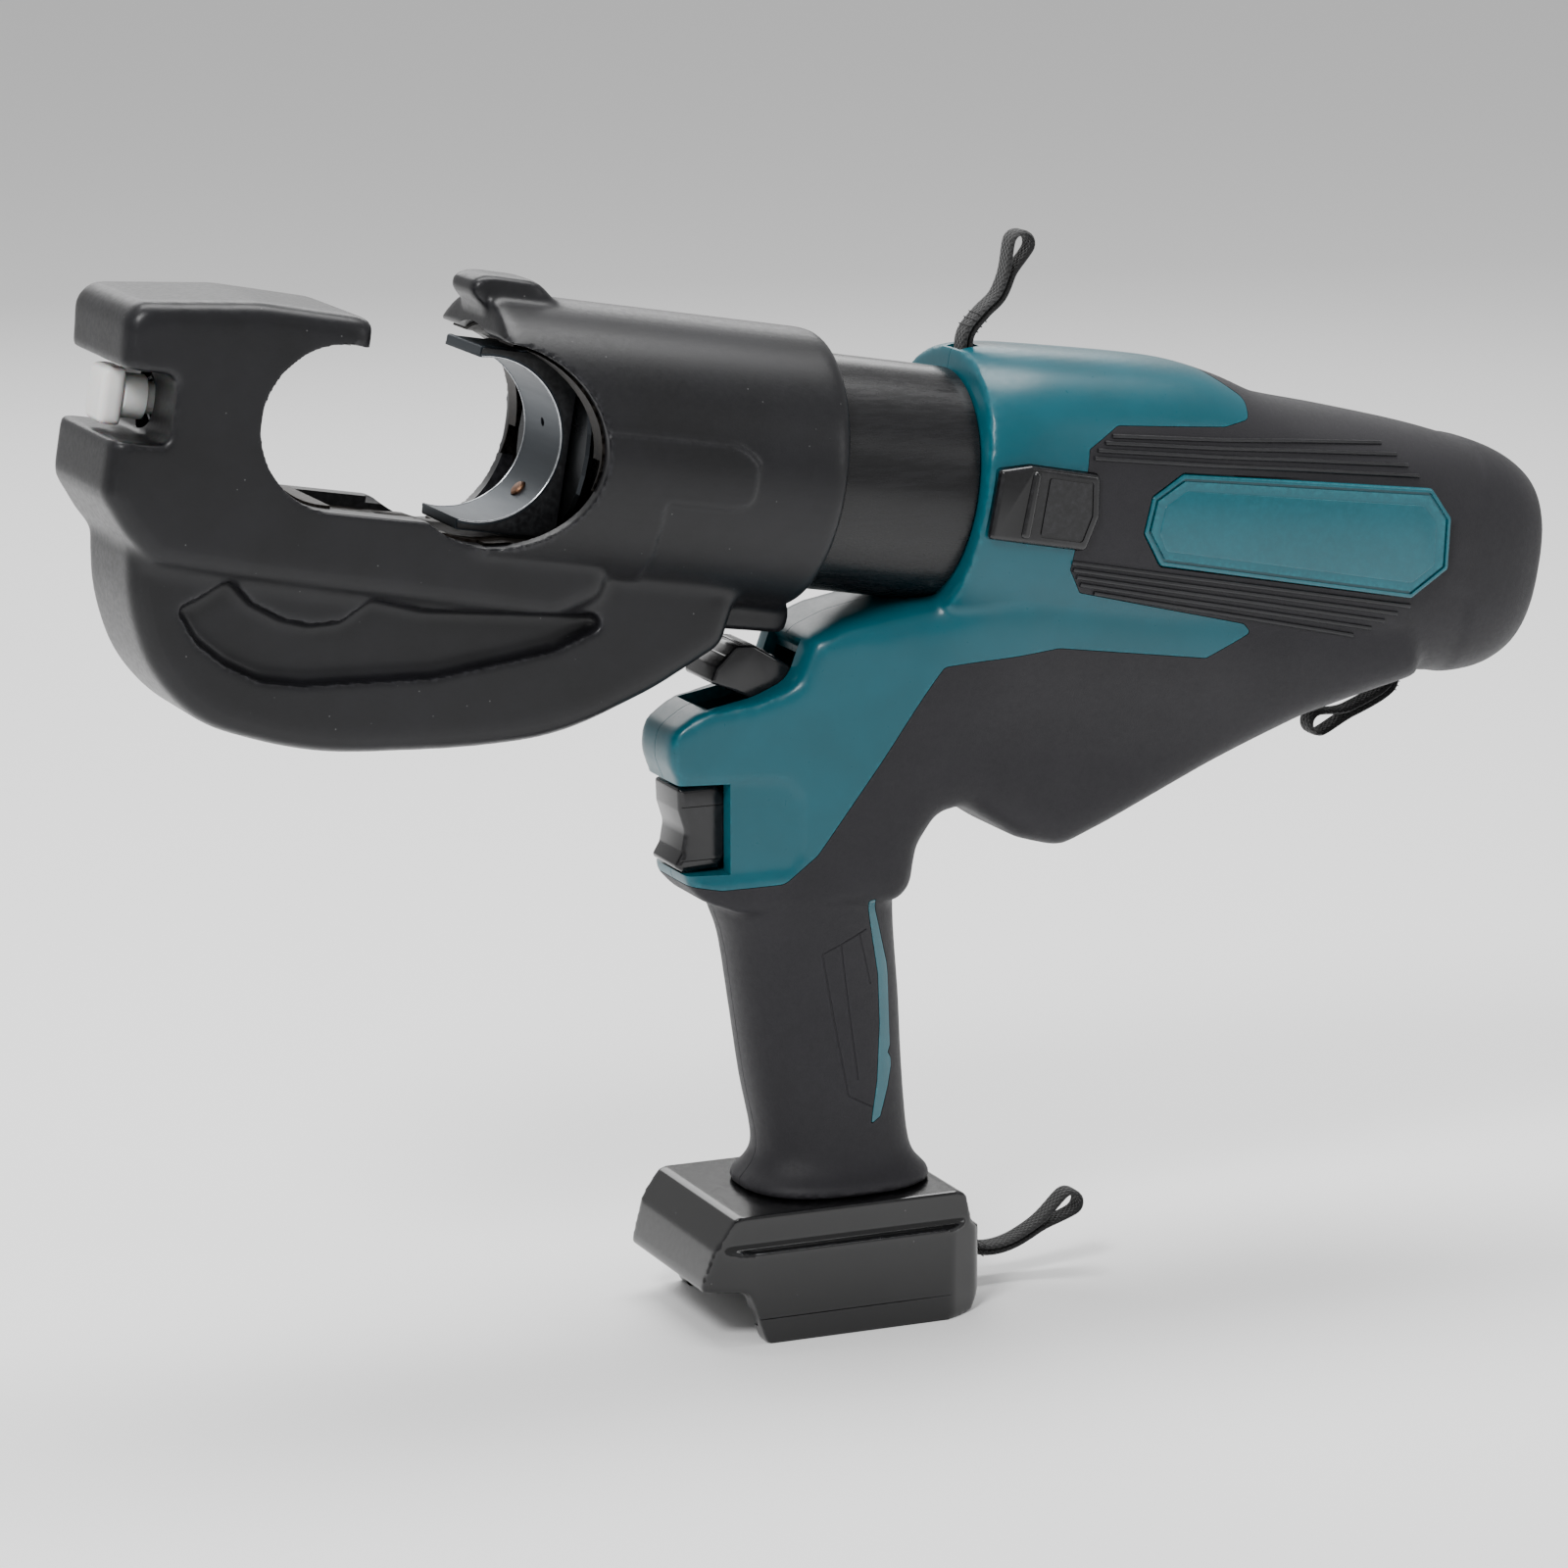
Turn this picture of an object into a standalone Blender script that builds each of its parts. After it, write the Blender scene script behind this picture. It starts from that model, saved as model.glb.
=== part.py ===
"""Cordless hydraulic crimping tool: swivelling C-shaped head, pistol grip, slide-on battery foot.

World frame: metres, +Z up, nose of the head towards -X, foot resting on Z = 0.
The ram axis rises towards the nose by TILT. Sizes below are millimetres; MM turns them into metres.
Ram frame: a = along the ram axis towards the tail, y = across, w = square to the axis and upwards.
"""
import math

import bmesh
import bpy
from mathutils import Matrix, Vector

MM = 0.001
TILT = 9.5                     # ram axis against the ground, degrees
AXIS_POINT = (-0.8, 279.2)     # x, z of the ram axis where a = 0
GAP = 0.3                      # clearance between pieces that touch
TURN = 28                      # segments round a turned piece
MOULDED = "MANIFOLD"           # Boolean solver for the moulded bodies

# --- head -------------------------------------------------------------------------------------
FIXED_SEAT = (-180.0, 25.0)    # a of the centre, radius of the fixed die seat
MOVING_SEAT = (-128.0, 26.0)   # a of the centre, radius of the moving die seat
RAM_TRAVEL = 38.0
HOLDER_HALF_Y = 16.0           # half width of the moving die holder
HOLDER_HALF_W = 29.0           # half height of the moving die holder
HOLDER_AIR = 1.08              # between the corners of the die holder and the bore in front of the barrel
HOLDER_FRONT = -133.0
HOLDER_REAR = -99.0
RAM_R = 30.0
RAM_BORE = 19.0                # hollow behind the piston face, room for the return spring
RAM_REAR = -20.0
BARREL_WALL = 5.6
BARREL_FRONT = -95.0
BARREL_REAR = 45.0
FRAME_RING_WALL = 4.9
FRAME_RING = (-127.0, -16.0)   # steel ring round the barrel
COVER_WALL = 4.0               # rubber over the steel
COVER_RING = (-131.0, -13.0)
HUMP_FRONT = -136.8
SLEEVE_WALL = 2.0
CHEEK_HALF = 30.5              # half width of the cover beside the throat
BOW_HALF = 25.0                # half width of the cover round the bow
FRAME_HALF = 21.0              # half width of the steel beside the throat
BOW_CORE_HALF = 13.0           # half width of the steel inside the bow
FLOOR_W = -29.8                # floor of the channel that the die holder slides in
CHEEK_TOP_W = -25.0            # upper edge of the cover beside the channel
RIM_R = 31.0                   # round cut-away of the ring in front of the die holder
BLOCK_TIP_A = -173.0           # tip of the top block over the fixed seat
THROAT_STEPS = 16              # segments of each seat in the side view

# --- release button ---------------------------------------------------------------------------
BUTTON_FACE = -250.6
BUTTON_REAR = -243.0
BUTTON_HALF = (8.0, 9.0)       # half width, half height of the cap
NOTCH_ROOT = -234.0
NOTCH_W = (-11.0, 10.5)
STEM_R = 5.0
STEM_REAR = -211.0
BUTTON_TRAVEL = 4.0

# --- housing ----------------------------------------------------------------------------------
COLLAR_FRONT = 35.0
SKIN = 1.8                     # soft over-mould thickness
WALL = 4.3                     # hard shell with its over-mould
SPINE_HALF = 26.0              # half width below the barrel
GRIP_FOOT_Z = 42.6
FLANGE_R = 38.8
STATION_COUNT = 11
RING_POINTS = 20

# --- foot -------------------------------------------------------------------------------------
FOOT_HALF = 38.0
FOOT_FRONT = -60.8
FOOT_REAR = 41.0
SKIRT_FRONT = -45.8
FRONT_BOTTOM_Z = 17.4
SHOULDER_Z = 31.4
FOOT_TOP_Z = 42.3
BAY_HALF = 30.5
BAY_ROOF_Z = 15.0
BAY_REAR = 30.0
SEAT_AIR = 2.4                 # the terminal block hangs on the rear wall, clear of the bay roof

# --- drive train ------------------------------------------------------------------------------
SUN_R = 5.7
PLANET_R = 8.0
PLANET_ORBIT = SUN_R + PLANET_R + GAP
RING_GEAR_R = PLANET_ORBIT + PLANET_R + GAP
CAM_R = 9.0
CAM_OFFSET = 1.2
SHAFT_R = 4.0
RESERVOIR_FLOOR = 22.0         # underside of the oil reservoir, above the plunger at full stroke
STATOR_R = (16.6, 27.0)

STEEL = ((0.42, 0.43, 0.45), 1.0, 0.35)
DARK_STEEL = ((0.05, 0.05, 0.055), 1.0, 0.4)
RUBBER = ((0.022, 0.022, 0.024), 0.0, 0.6)
SOFT = ((0.026, 0.026, 0.028), 0.0, 0.72)
TEAL = ((0.0, 0.22, 0.27), 0.0, 0.4)
BLACK = ((0.016, 0.016, 0.018), 0.0, 0.3)
WHITE = ((0.8, 0.8, 0.78), 0.0, 0.35)
BRASS = ((0.62, 0.42, 0.14), 1.0, 0.35)
COPPER = ((0.6, 0.25, 0.12), 1.0, 0.45)
ALLOY = ((0.6, 0.61, 0.62), 1.0, 0.45)
BOARD = ((0.02, 0.12, 0.05), 0.0, 0.5)
WEB = ((0.012, 0.012, 0.013), 0.0, 0.9)

for old in list(bpy.data.objects):
    bpy.data.objects.remove(old, do_unlink=True)

PARTS = bpy.data.collections.new("crimping_tool")
TOOLS = bpy.data.collections.new("cutters")
for group in (PARTS, TOOLS):
    bpy.context.scene.collection.children.link(group)

RAM = Matrix.Translation((AXIS_POINT[0] * MM, 0.0, AXIS_POINT[1] * MM)) @ Matrix.Rotation(math.radians(TILT), 4, "Y")
WORLD = Matrix.Identity(4)
ALONG_A = Matrix.Rotation(math.radians(90.0), 4, "Y")      # local Z becomes a
SIDE = Matrix.Rotation(math.radians(90.0), 4, "X")         # local XY becomes the side view
LYING = Matrix.Rotation(math.radians(-90.0), 4, "X")       # a side-view outline becomes a plan


def shift(x, y, z):
    """Translation by millimetres."""
    return Matrix.Translation((x * MM, y * MM, z * MM))


def ram_to_world(a, w):
    """World x, z in millimetres of a point of the ram frame."""
    c = math.cos(math.radians(TILT))
    s = math.sin(math.radians(TILT))
    return (AXIS_POINT[0] + a * c + w * s, AXIS_POINT[1] - a * s + w * c)


def material(name, finish):
    """One Principled material for one piece."""
    mat = bpy.data.materials.new("finish_" + name)
    mat.use_nodes = True
    bsdf = mat.node_tree.nodes["Principled BSDF"]
    bsdf.inputs["Base Color"].default_value = (*finish[0], 1.0)
    bsdf.inputs["Metallic"].default_value = finish[1]
    bsdf.inputs["Roughness"].default_value = finish[2]
    mat.diffuse_color = (*finish[0], 1.0)
    return mat


def place(name, mesh, matrix, finish=None, smooth=False):
    """Object from a mesh: a named part when it has a finish, a cutter otherwise."""
    obj = bpy.data.objects.new(name, mesh)
    obj.matrix_world = matrix
    if smooth:
        mesh.polygons.foreach_set("use_smooth", [True] * len(mesh.polygons))
    if finish:
        mesh.materials.clear()
        mesh.materials.append(material(name, finish))
        PARTS.objects.link(obj)
    else:
        TOOLS.objects.link(obj)
        obj.hide_render = True
        obj.display_type = "WIRE"
    return obj


def from_bmesh(name, bm, matrix, finish=None, smooth=False):
    """Mesh object from a bmesh whose coordinates are millimetres."""
    bmesh.ops.scale(bm, vec=(MM, MM, MM), verts=bm.verts)
    bmesh.ops.recalc_face_normals(bm, faces=bm.faces)
    mesh = bpy.data.meshes.new(name)
    bm.to_mesh(mesh)
    bm.free()
    return place(name, mesh, matrix, finish, smooth)


def block(name, x, y, z, matrix=WORLD, finish=None, bevel=0.0):
    """Box between the given (low, high) limits."""
    bm = bmesh.new()
    bmesh.ops.create_cube(bm, size=1.0)
    size = (x[1] - x[0], y[1] - y[0], z[1] - z[0])
    middle = ((x[0] + x[1]) / 2, (y[0] + y[1]) / 2, (z[0] + z[1]) / 2)
    bmesh.ops.scale(bm, vec=size, verts=bm.verts)
    bmesh.ops.translate(bm, vec=middle, verts=bm.verts)
    obj = from_bmesh(name, bm, matrix, finish)
    if bevel:
        soften_edges(obj, bevel)
    return obj


def rod(name, radius, low, high, matrix, finish=None, steps=TURN, tip=None):
    """Cylinder or cone along local Z from low to high."""
    bm = bmesh.new()
    depth = high - low
    end = radius if tip is None else tip
    bmesh.ops.create_cone(bm, cap_ends=True, segments=steps, radius1=radius, radius2=end, depth=depth)
    bmesh.ops.translate(bm, vec=(0.0, 0.0, (low + high) / 2), verts=bm.verts)
    obj = from_bmesh(name, bm, matrix, finish)
    shade_by_angle(obj)
    return obj


def shade_by_angle(obj):
    """Smooth round faces and keep the sharp rims."""
    mesh = obj.data
    mesh.polygons.foreach_set("use_smooth", [True] * len(mesh.polygons))
    mesh.set_sharp_from_angle(angle=math.radians(40.0))


def turned(name, profile, matrix, finish=None, steps=TURN):
    """Piece turned about local Z; the profile is (radius, height) down the outer side, then up the bore."""
    bm = bmesh.new()
    verts = [bm.verts.new((r * MM, 0.0, z * MM)) for r, z in profile]
    for first, second in zip(verts, verts[1:]):
        bm.edges.new((first, second))
    if profile[0][0] > 0.0:
        bm.edges.new((verts[-1], verts[0]))
    mesh = bpy.data.meshes.new(name)
    bm.to_mesh(mesh)
    bm.free()
    obj = place(name, mesh, matrix, finish)
    screw = obj.modifiers.new("turn", "SCREW")
    screw.axis = "Z"
    screw.steps = steps
    screw.render_steps = steps
    screw.use_merge_vertices = True
    screw.merge_threshold = 0.00001
    screw.use_smooth_shade = False
    return obj


def corner_arc(before, corner, after, radius, steps=4):
    """Points of a rounded corner."""
    p = Vector(corner[:2])
    u = Vector(before[:2]) - p
    v = Vector(after[:2]) - p
    if radius <= 0.0 or u.length < 1e-6 or v.length < 1e-6:
        return [p]
    half = max(u.angle(v) / 2, 0.02)
    reach = min(radius / math.tan(half), u.length * 0.48, v.length * 0.48)
    start = p + u.normalized() * reach
    finish = p + v.normalized() * reach
    points = []
    for i in range(steps + 1):
        t = i / steps
        points.append(start * (1 - t) ** 2 + p * 2 * t * (1 - t) + finish * t * t)
    return points


def rounded(points, steps=4):
    """Outline with its corners rounded; a point is (x, z) or (x, z, radius)."""
    result = []
    count = len(points)
    for i, point in enumerate(points):
        radius = point[2] if len(point) > 2 else 0.0
        result += corner_arc(points[i - 1], point, points[(i + 1) % count], radius, steps)
    return result


def inset(points, amount):
    """Counter-clockwise outline moved inwards by amount."""
    result = []
    count = len(points)
    for i, point in enumerate(points):
        p = Vector(point[:2])
        u = (p - Vector(points[i - 1][:2])).normalized()
        v = (Vector(points[(i + 1) % count][:2]) - p).normalized()
        nu = Vector((-u.y, u.x))
        nv = Vector((-v.y, v.x))
        mid = nu + nv
        moved = p + mid * (amount / max(mid.dot(nu), 0.35))
        turn = u.x * v.y - u.y * v.x
        radius = point[2] if len(point) > 2 else 0.0
        radius = max(radius - amount, 0.0) if turn > 0 else radius + max(amount, 0.0)
        result.append((moved.x, moved.y, radius))
    return result


def plate(name, points, y, matrix=WORLD, finish=None, bevel=0.0, segments=1, steps=2):
    """Side-view outline given thickness between two y values."""
    curve = bpy.data.curves.new(name, "CURVE")
    curve.dimensions = "2D"
    curve.fill_mode = "BOTH"
    curve.extrude = (y[1] - y[0]) / 2 * MM
    flat = rounded(points, steps)
    spline = curve.splines.new("POLY")
    spline.points.add(len(flat) - 1)
    for point, co in zip(spline.points, flat):
        point.co = (co.x * MM, co.y * MM, 0.0, 1.0)
    spline.use_cyclic_u = True
    shell = bpy.data.objects.new(name + "_outline", curve)
    bpy.context.scene.collection.objects.link(shell)
    mesh = frozen(shell)
    mesh.name = name
    obj = place(name, mesh, matrix @ shift(0.0, (y[0] + y[1]) / 2, 0.0) @ SIDE, finish)
    if bevel:
        soften_edges(obj, bevel, segments)
    return obj


def frozen(obj):
    """Mesh of an object with everything on it applied; the object is removed."""
    graph = bpy.context.evaluated_depsgraph_get()
    graph.update()
    mesh = bpy.data.meshes.new_from_object(obj.evaluated_get(graph))
    bm = bmesh.new()
    bm.from_mesh(mesh)
    bmesh.ops.remove_doubles(bm, verts=bm.verts, dist=1e-5)
    bmesh.ops.dissolve_degenerate(bm, edges=bm.edges, dist=1e-5)
    bmesh.ops.recalc_face_normals(bm, faces=bm.faces)
    bm.to_mesh(mesh)
    bm.free()
    bpy.data.objects.remove(obj, do_unlink=True)
    return mesh


def tube(name, path, radius, matrix, finish, resolution=2):
    """Round wire along a path of millimetre points."""
    curve = bpy.data.curves.new(name, "CURVE")
    curve.dimensions = "3D"
    curve.bevel_depth = radius * MM
    curve.bevel_resolution = resolution
    curve.use_fill_caps = True
    spline = curve.splines.new("POLY")
    spline.points.add(len(path) - 1)
    for point, co in zip(spline.points, path):
        point.co = (co[0] * MM, co[1] * MM, co[2] * MM, 1.0)
    wire = bpy.data.objects.new(name + "_path", curve)
    bpy.context.scene.collection.objects.link(wire)
    return place(name, frozen(wire), matrix, finish, smooth=True)


def coil(name, radius, wire, low, high, turns, matrix, finish):
    """Helical spring along local Z."""
    steps = int(turns * 8)
    path = []
    for i in range(steps + 1):
        angle = math.tau * turns * i / steps
        path.append((radius * math.cos(angle), radius * math.sin(angle), low + (high - low) * i / steps))
    return tube(name, path, wire, matrix, finish, resolution=0)


def soften_edges(obj, width, segments=1):
    """Rounded rims on the sharp edges."""
    bevel = obj.modifiers.new("rims", "BEVEL")
    bevel.width = width * MM
    bevel.segments = segments
    bevel.limit_method = "ANGLE"
    bevel.angle_limit = math.radians(50.0)
    return obj


def combine(target, tool, operation, solver="EXACT"):
    """Boolean with a closed tool; MANIFOLD serves the moulded bodies, on which EXACT fails."""
    mod = target.modifiers.new(operation.lower(), "BOOLEAN")
    mod.operation = operation
    mod.solver = solver
    mod.object = tool
    return target


def cut(target, *tools, solver="EXACT"):
    """Take the tools away from the target."""
    for tool in tools:
        combine(target, tool, "DIFFERENCE", solver)
    return target


def join(target, *tools, solver="EXACT"):
    """Add the tools to the target."""
    for tool in tools:
        combine(target, tool, "UNION", solver)
    return target


def solid(obj):
    """Cutter with its modifiers applied once, for reuse."""
    name = obj.name
    matrix = obj.matrix_world.copy()
    mesh = frozen(obj)
    return place(name, mesh, matrix)


def copy_of(obj, name, finish=None):
    """Second object with its own copy of a finished mesh."""
    return place(name, obj.data.copy(), obj.matrix_world.copy(), finish)


# === head =====================================================================================
TURN_A = RAM @ ALONG_A
BARREL_R = RAM_R + 0.4 + BARREL_WALL
FRAME_BORE = BARREL_R + GAP
FRAME_R = FRAME_BORE + FRAME_RING_WALL
COVER_BORE = FRAME_R + GAP
COVER_R = COVER_BORE + COVER_WALL
SLEEVE_R = BARREL_R + GAP + SLEEVE_WALL
FRONT_BORE = math.hypot(HOLDER_HALF_Y, HOLDER_HALF_W) + HOLDER_AIR

# side view of the cover, counter-clockwise: nose, beam under the throat, top block
BLOCK_LINE = [(BLOCK_TIP_A, 20.0, 1.0), (BLOCK_TIP_A, 33.5, 2.0), (-178.0, 34.8, 2.0), (-210.0, 35.5, 8.0),
              (-248.0, 31.5, 4.0), (-252.5, 26.0, 4.0), (-251.0, 9.0, 3.0), (-252.0, -12.0, 3.0),
              (-252.0, -29.0, 4.0), (-243.0, -40.0, 6.0), (-234.0, -48.0, 6.0), (-200.0, -50.0, 8.0),
              (-100.0, -53.0, 6.0), (-84.0, -44.0, 6.0), (-90.0, 0.0, 2.0)]
BOW_LINE = [(-205.0, -20.0), (-238.0, -24.0), (-240.0, -44.0, 6.0), (-237.0, -62.0, 10.0),
            (-228.0, -82.0, 14.0), (-210.0, -97.0, 16.0), (-172.0, -103.5, 20.0),
            (-122.0, -97.5, 20.0), (-90.0, -91.0, 20.0), (-60.0, -73.0, 12.0), (-39.0, -57.0, 4.0),
            (-36.0, -40.0), (-60.0, -30.0)]
TAB_LINE = [(-46.0, -40.0), (-41.0, -53.5, 1.5), (-12.0, -53.0, 1.5), (-10.8, -46.0, 1.5), (-16.0, -38.0)]
HUMP_LINE = [(HUMP_FRONT, 44.0, 1.0), (-131.0, 40.0), (-109.0, 40.0), (-109.0, 46.5, 2.0), (-115.0, 50.8, 3.0),
             (-132.0, 51.0, 3.0), (HUMP_FRONT, 48.5, 2.0)]


def ring_between(name, outer, inner, low, high, finish=None, edge=0.0):
    """Plain ring about the ram axis with softened outer rims."""
    profile = [(outer - edge, high), (outer, high - edge), (outer, low + edge), (outer - edge, low),
               (inner, low), (inner, high)]
    if not edge:
        profile = [(outer, high), (outer, low), (inner, low), (inner, high)]
    return turned(name, profile, TURN_A, finish)


def disc_along_y(name, a, w, radius, half, steps=48):
    """Cylinder across the ram frame."""
    return rod(name, radius, -half, half, RAM @ shift(a, 0.0, w) @ SIDE, steps=steps)


def throat(name, grow, half):
    """Opening between the two die seats, as one side-view outline."""
    centre, radius = FIXED_SEAT
    radius += grow
    rim_centre = MOVING_SEAT[0] - 1.0
    rim_radius = RIM_R + grow
    floor = CHEEK_TOP_W - grow
    start = math.asin(min(-floor / rim_radius, 1.0))
    points = [(HUMP_FRONT - 0.8, 80.0), (BLOCK_TIP_A - 1.0 + grow, 80.0)]
    lip = math.acos((BLOCK_TIP_A - 1.0 + grow - centre) / radius)
    for i in range(THROAT_STEPS + 1):
        angle = lip + (1.5 * math.pi - lip) * i / THROAT_STEPS
        points.append((centre + radius * math.cos(angle), radius * math.sin(angle)))
    top = math.radians(88.0)
    for i in range(THROAT_STEPS + 1):
        angle = -math.pi + start + (math.pi - start + top) * i / THROAT_STEPS
        points.append((rim_centre + rim_radius * math.cos(angle), rim_radius * math.sin(angle)))
    points.append((HUMP_FRONT - 0.8, rim_radius + 2.0))
    return plate(name, points, (-half, half), RAM)


def head_solid(name, amount, half, bow_half, rims, finish=None):
    """Head-shaped solid moved inwards by amount, with its half widths beside the throat and round the bow."""
    body = plate(name, inset(BLOCK_LINE, amount), (-half, half), RAM, finish, bevel=rims)
    bow = plate(name + "_bow", inset(BOW_LINE, amount), (-bow_half, bow_half), RAM, bevel=rims)
    return join(body, bow, solver=MOULDED)


barrel = turned("cylinder_barrel", [
    (FLANGE_R, BARREL_REAR), (FLANGE_R, BARREL_REAR - 3.5), (BARREL_R, BARREL_REAR - 3.5),
    (BARREL_R, BARREL_FRONT + 1.0), (BARREL_R - 1.0, BARREL_FRONT), (RAM_R + 0.4, BARREL_FRONT),
    (RAM_R + 0.4, BARREL_REAR - 9.0), (3.0, BARREL_REAR - 9.0), (3.0, BARREL_REAR)], TURN_A, STEEL)

sleeve = ring_between("cylinder_sleeve", SLEEVE_R, BARREL_R + GAP, COVER_RING[1] + GAP, COLLAR_FRONT - GAP,
                      RUBBER, 0.6)

frame = head_solid("jaw_frame", COVER_WALL + GAP, FRAME_HALF, BOW_CORE_HALF, 1.5, DARK_STEEL)
frame_ring = rod("frame_ring", FRAME_R, FRAME_RING[0], FRAME_RING[1], TURN_A)
join(frame, frame_ring, solver=MOULDED)
barrel_bore = rod("barrel_bore", FRAME_BORE, BARREL_FRONT - GAP, 80.0, TURN_A)
front_bore = rod("front_bore", FRONT_BORE, -150.0, BARREL_FRONT + 10.0, TURN_A)
channel = block("holder_channel", (FIXED_SEAT[0] + 3.0, -95.0), (-40.0, 40.0), (FLOOR_W, 0.0), RAM)
frame_throat = throat("frame_throat", 0.0, 60.0)
stem_bore = rod("stem_bore", STEM_R + GAP, -260.0, -200.0, TURN_A)
spring_bore = rod("spring_bore", 8.4, -260.0, -222.0, TURN_A)
frame_nose = block("frame_nose", (-270.0, NOTCH_ROOT + COVER_WALL + GAP), (-60.0, 60.0),
                   (NOTCH_W[0] - COVER_WALL - GAP, NOTCH_W[1] + COVER_WALL + GAP), RAM)
cut(frame, frame_nose, front_bore, barrel_bore, channel, frame_throat, stem_bore, spring_bore, solver=MOULDED)

cover = head_solid("jaw_cover", 0.0, CHEEK_HALF, BOW_HALF, 5.0, RUBBER)
cover_ring = turned("cover_ring", [
    (0.0, COVER_RING[1]), (COVER_R - 4.0, COVER_RING[1]), (COVER_R - 1.2, COVER_RING[1] - 1.2),
    (COVER_R, COVER_RING[1] - 4.0), (COVER_R, COVER_RING[0] + 1.5), (COVER_R - 1.5, COVER_RING[0]),
    (0.0, COVER_RING[0])], TURN_A)
cover_tab = plate("cover_tab", TAB_LINE, (-10.0, 10.0), RAM, bevel=1.5)
cover_hump = plate("cover_hump", HUMP_LINE, (-11.0, 11.0), RAM, bevel=1.5)
join(cover, cover_ring, cover_tab, cover_hump, solver=MOULDED)
frame_room = head_solid("frame_room", COVER_WALL, FRAME_HALF + GAP, BOW_CORE_HALF + GAP, 1.5)
nose_wall = block("nose_wall", (-270.0, NOTCH_ROOT + COVER_WALL), (-60.0, 60.0),
                  (NOTCH_W[0] - COVER_WALL, NOTCH_W[1] + COVER_WALL), RAM)
cut(frame_room, nose_wall, solver=MOULDED)
ring_room = rod("ring_room", COVER_BORE, FRAME_RING[0] - GAP, FRAME_RING[1] + GAP, TURN_A)
neck_room = rod("neck_room", BARREL_R + GAP, FRAME_RING[1] - 5.0, 20.0, TURN_A)
front_room = rod("front_room", FRONT_BORE + 1.0, -150.0, FRAME_RING[0] + 5.0, TURN_A)
cover_throat = throat("cover_throat", 0.9, 60.0)
channel_room = block("channel_room", (FIXED_SEAT[0] + 4.0, -95.0), (-FRAME_HALF - GAP, FRAME_HALF + GAP),
                     (FLOOR_W + 0.4, 0.0), RAM)
nose_notch = block("nose_notch", (-270.0, NOTCH_ROOT), (-60.0, 60.0), NOTCH_W, RAM)
cap_room = rod("cap_room", 9.6, -260.0, -229.0, TURN_A)
cut(cover, solid(frame_room), ring_room, neck_room, front_room, cover_throat, channel_room, nose_notch, cap_room,
    solver=MOULDED)

holder = block("ram_die_holder", (HOLDER_FRONT, HOLDER_REAR), (-HOLDER_HALF_Y, HOLDER_HALF_Y),
               (-HOLDER_HALF_W, HOLDER_HALF_W), RAM, STEEL, bevel=1.0)
seat_cut = disc_along_y("seat_cut", MOVING_SEAT[0], 0.0, MOVING_SEAT[1], 30.0)
DETENT_A = MOVING_SEAT[0] + MOVING_SEAT[1] * math.cos(math.radians(38.0))
DETENT_W = -MOVING_SEAT[1] * math.sin(math.radians(38.0))
DETENT = RAM @ shift(DETENT_A, 0.0, DETENT_W) @ Matrix.Rotation(math.radians(128.0), 4, "Y")
detent_bore = rod("detent_bore", 3.0, -6.0, 8.0, DETENT, steps=20)
hole_cut = rod("hole_cut", 1.4, -4.0, 6.0, RAM @ shift(MOVING_SEAT[0] + MOVING_SEAT[1], 0.0, 6.0) @ ALONG_A, steps=16)
cut(holder, seat_cut, detent_bore, hole_cut)
rod("die_detent_pin", 2.7, -1.2, 4.5, DETENT, BRASS, steps=20)

turned("ram", [
    (0.0, RAM_REAR - 62.0), (RAM_BORE, RAM_REAR - 62.0), (RAM_BORE, RAM_REAR), (RAM_R - 1.0, RAM_REAR),
    (RAM_R, RAM_REAR - 1.0), (RAM_R, RAM_REAR - 8.0), (RAM_R - 3.0, RAM_REAR - 8.0),
    (RAM_R - 3.0, RAM_REAR - 13.0), (RAM_R, RAM_REAR - 13.0), (RAM_R, HOLDER_REAR + GAP + 1.0),
    (RAM_R - 1.0, HOLDER_REAR + GAP), (0.0, HOLDER_REAR + GAP)], TURN_A, STEEL)
ring_between("piston_seal", RAM_R + 0.1, RAM_R - 2.7, RAM_REAR - 12.7, RAM_REAR - 8.3, RUBBER)
coil("ram_return_spring", 14.0, 1.6, RAM_REAR - 60.0, BARREL_REAR - 11.0, 9, TURN_A, STEEL)

block("die_release_button", (BUTTON_FACE, BUTTON_REAR), (-BUTTON_HALF[0], BUTTON_HALF[0]),
      (-BUTTON_HALF[1], BUTTON_HALF[1]), RAM, WHITE, bevel=2.2)
turned("button_stem", [
    (0.0, STEM_REAR), (STEM_R - 0.5, STEM_REAR), (STEM_R, STEM_REAR - 0.5), (STEM_R, -235.0), (7.0, -235.0),
    (7.0, BUTTON_REAR + GAP), (0.0, BUTTON_REAR + GAP)], TURN_A, WHITE, steps=28)
coil("button_spring", 6.6, 0.6, -234.0, -223.0, 4, TURN_A, STEEL)

# === housing ==================================================================================
# a, half width, top w, bottom w, squareness of the section
BARREL_STATIONS = [
    (35.0, 43.0, 45.0, -44.0, 2.3), (45.0, 44.3, 47.4, -45.0, 2.4), (63.0, 44.6, 48.6, -46.0, 2.6),
    (108.0, 44.4, 49.8, -45.0, 2.8), (127.0, 43.6, 47.6, -44.0, 2.8), (147.0, 43.0, 42.6, -43.5, 2.8),
    (176.0, 42.4, 40.8, -44.0, 2.8), (205.0, 41.0, 38.6, -44.5, 2.8), (222.0, 38.6, 36.4, -44.4, 2.7),
    (236.0, 35.4, 33.8, -42.4, 2.7), (246.0, 31.4, 30.0, -38.6, 2.6), (253.0, 26.0, 24.4, -32.0, 2.5),
    (257.2, 15.0, 13.0, -19.0, 2.4)]
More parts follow.
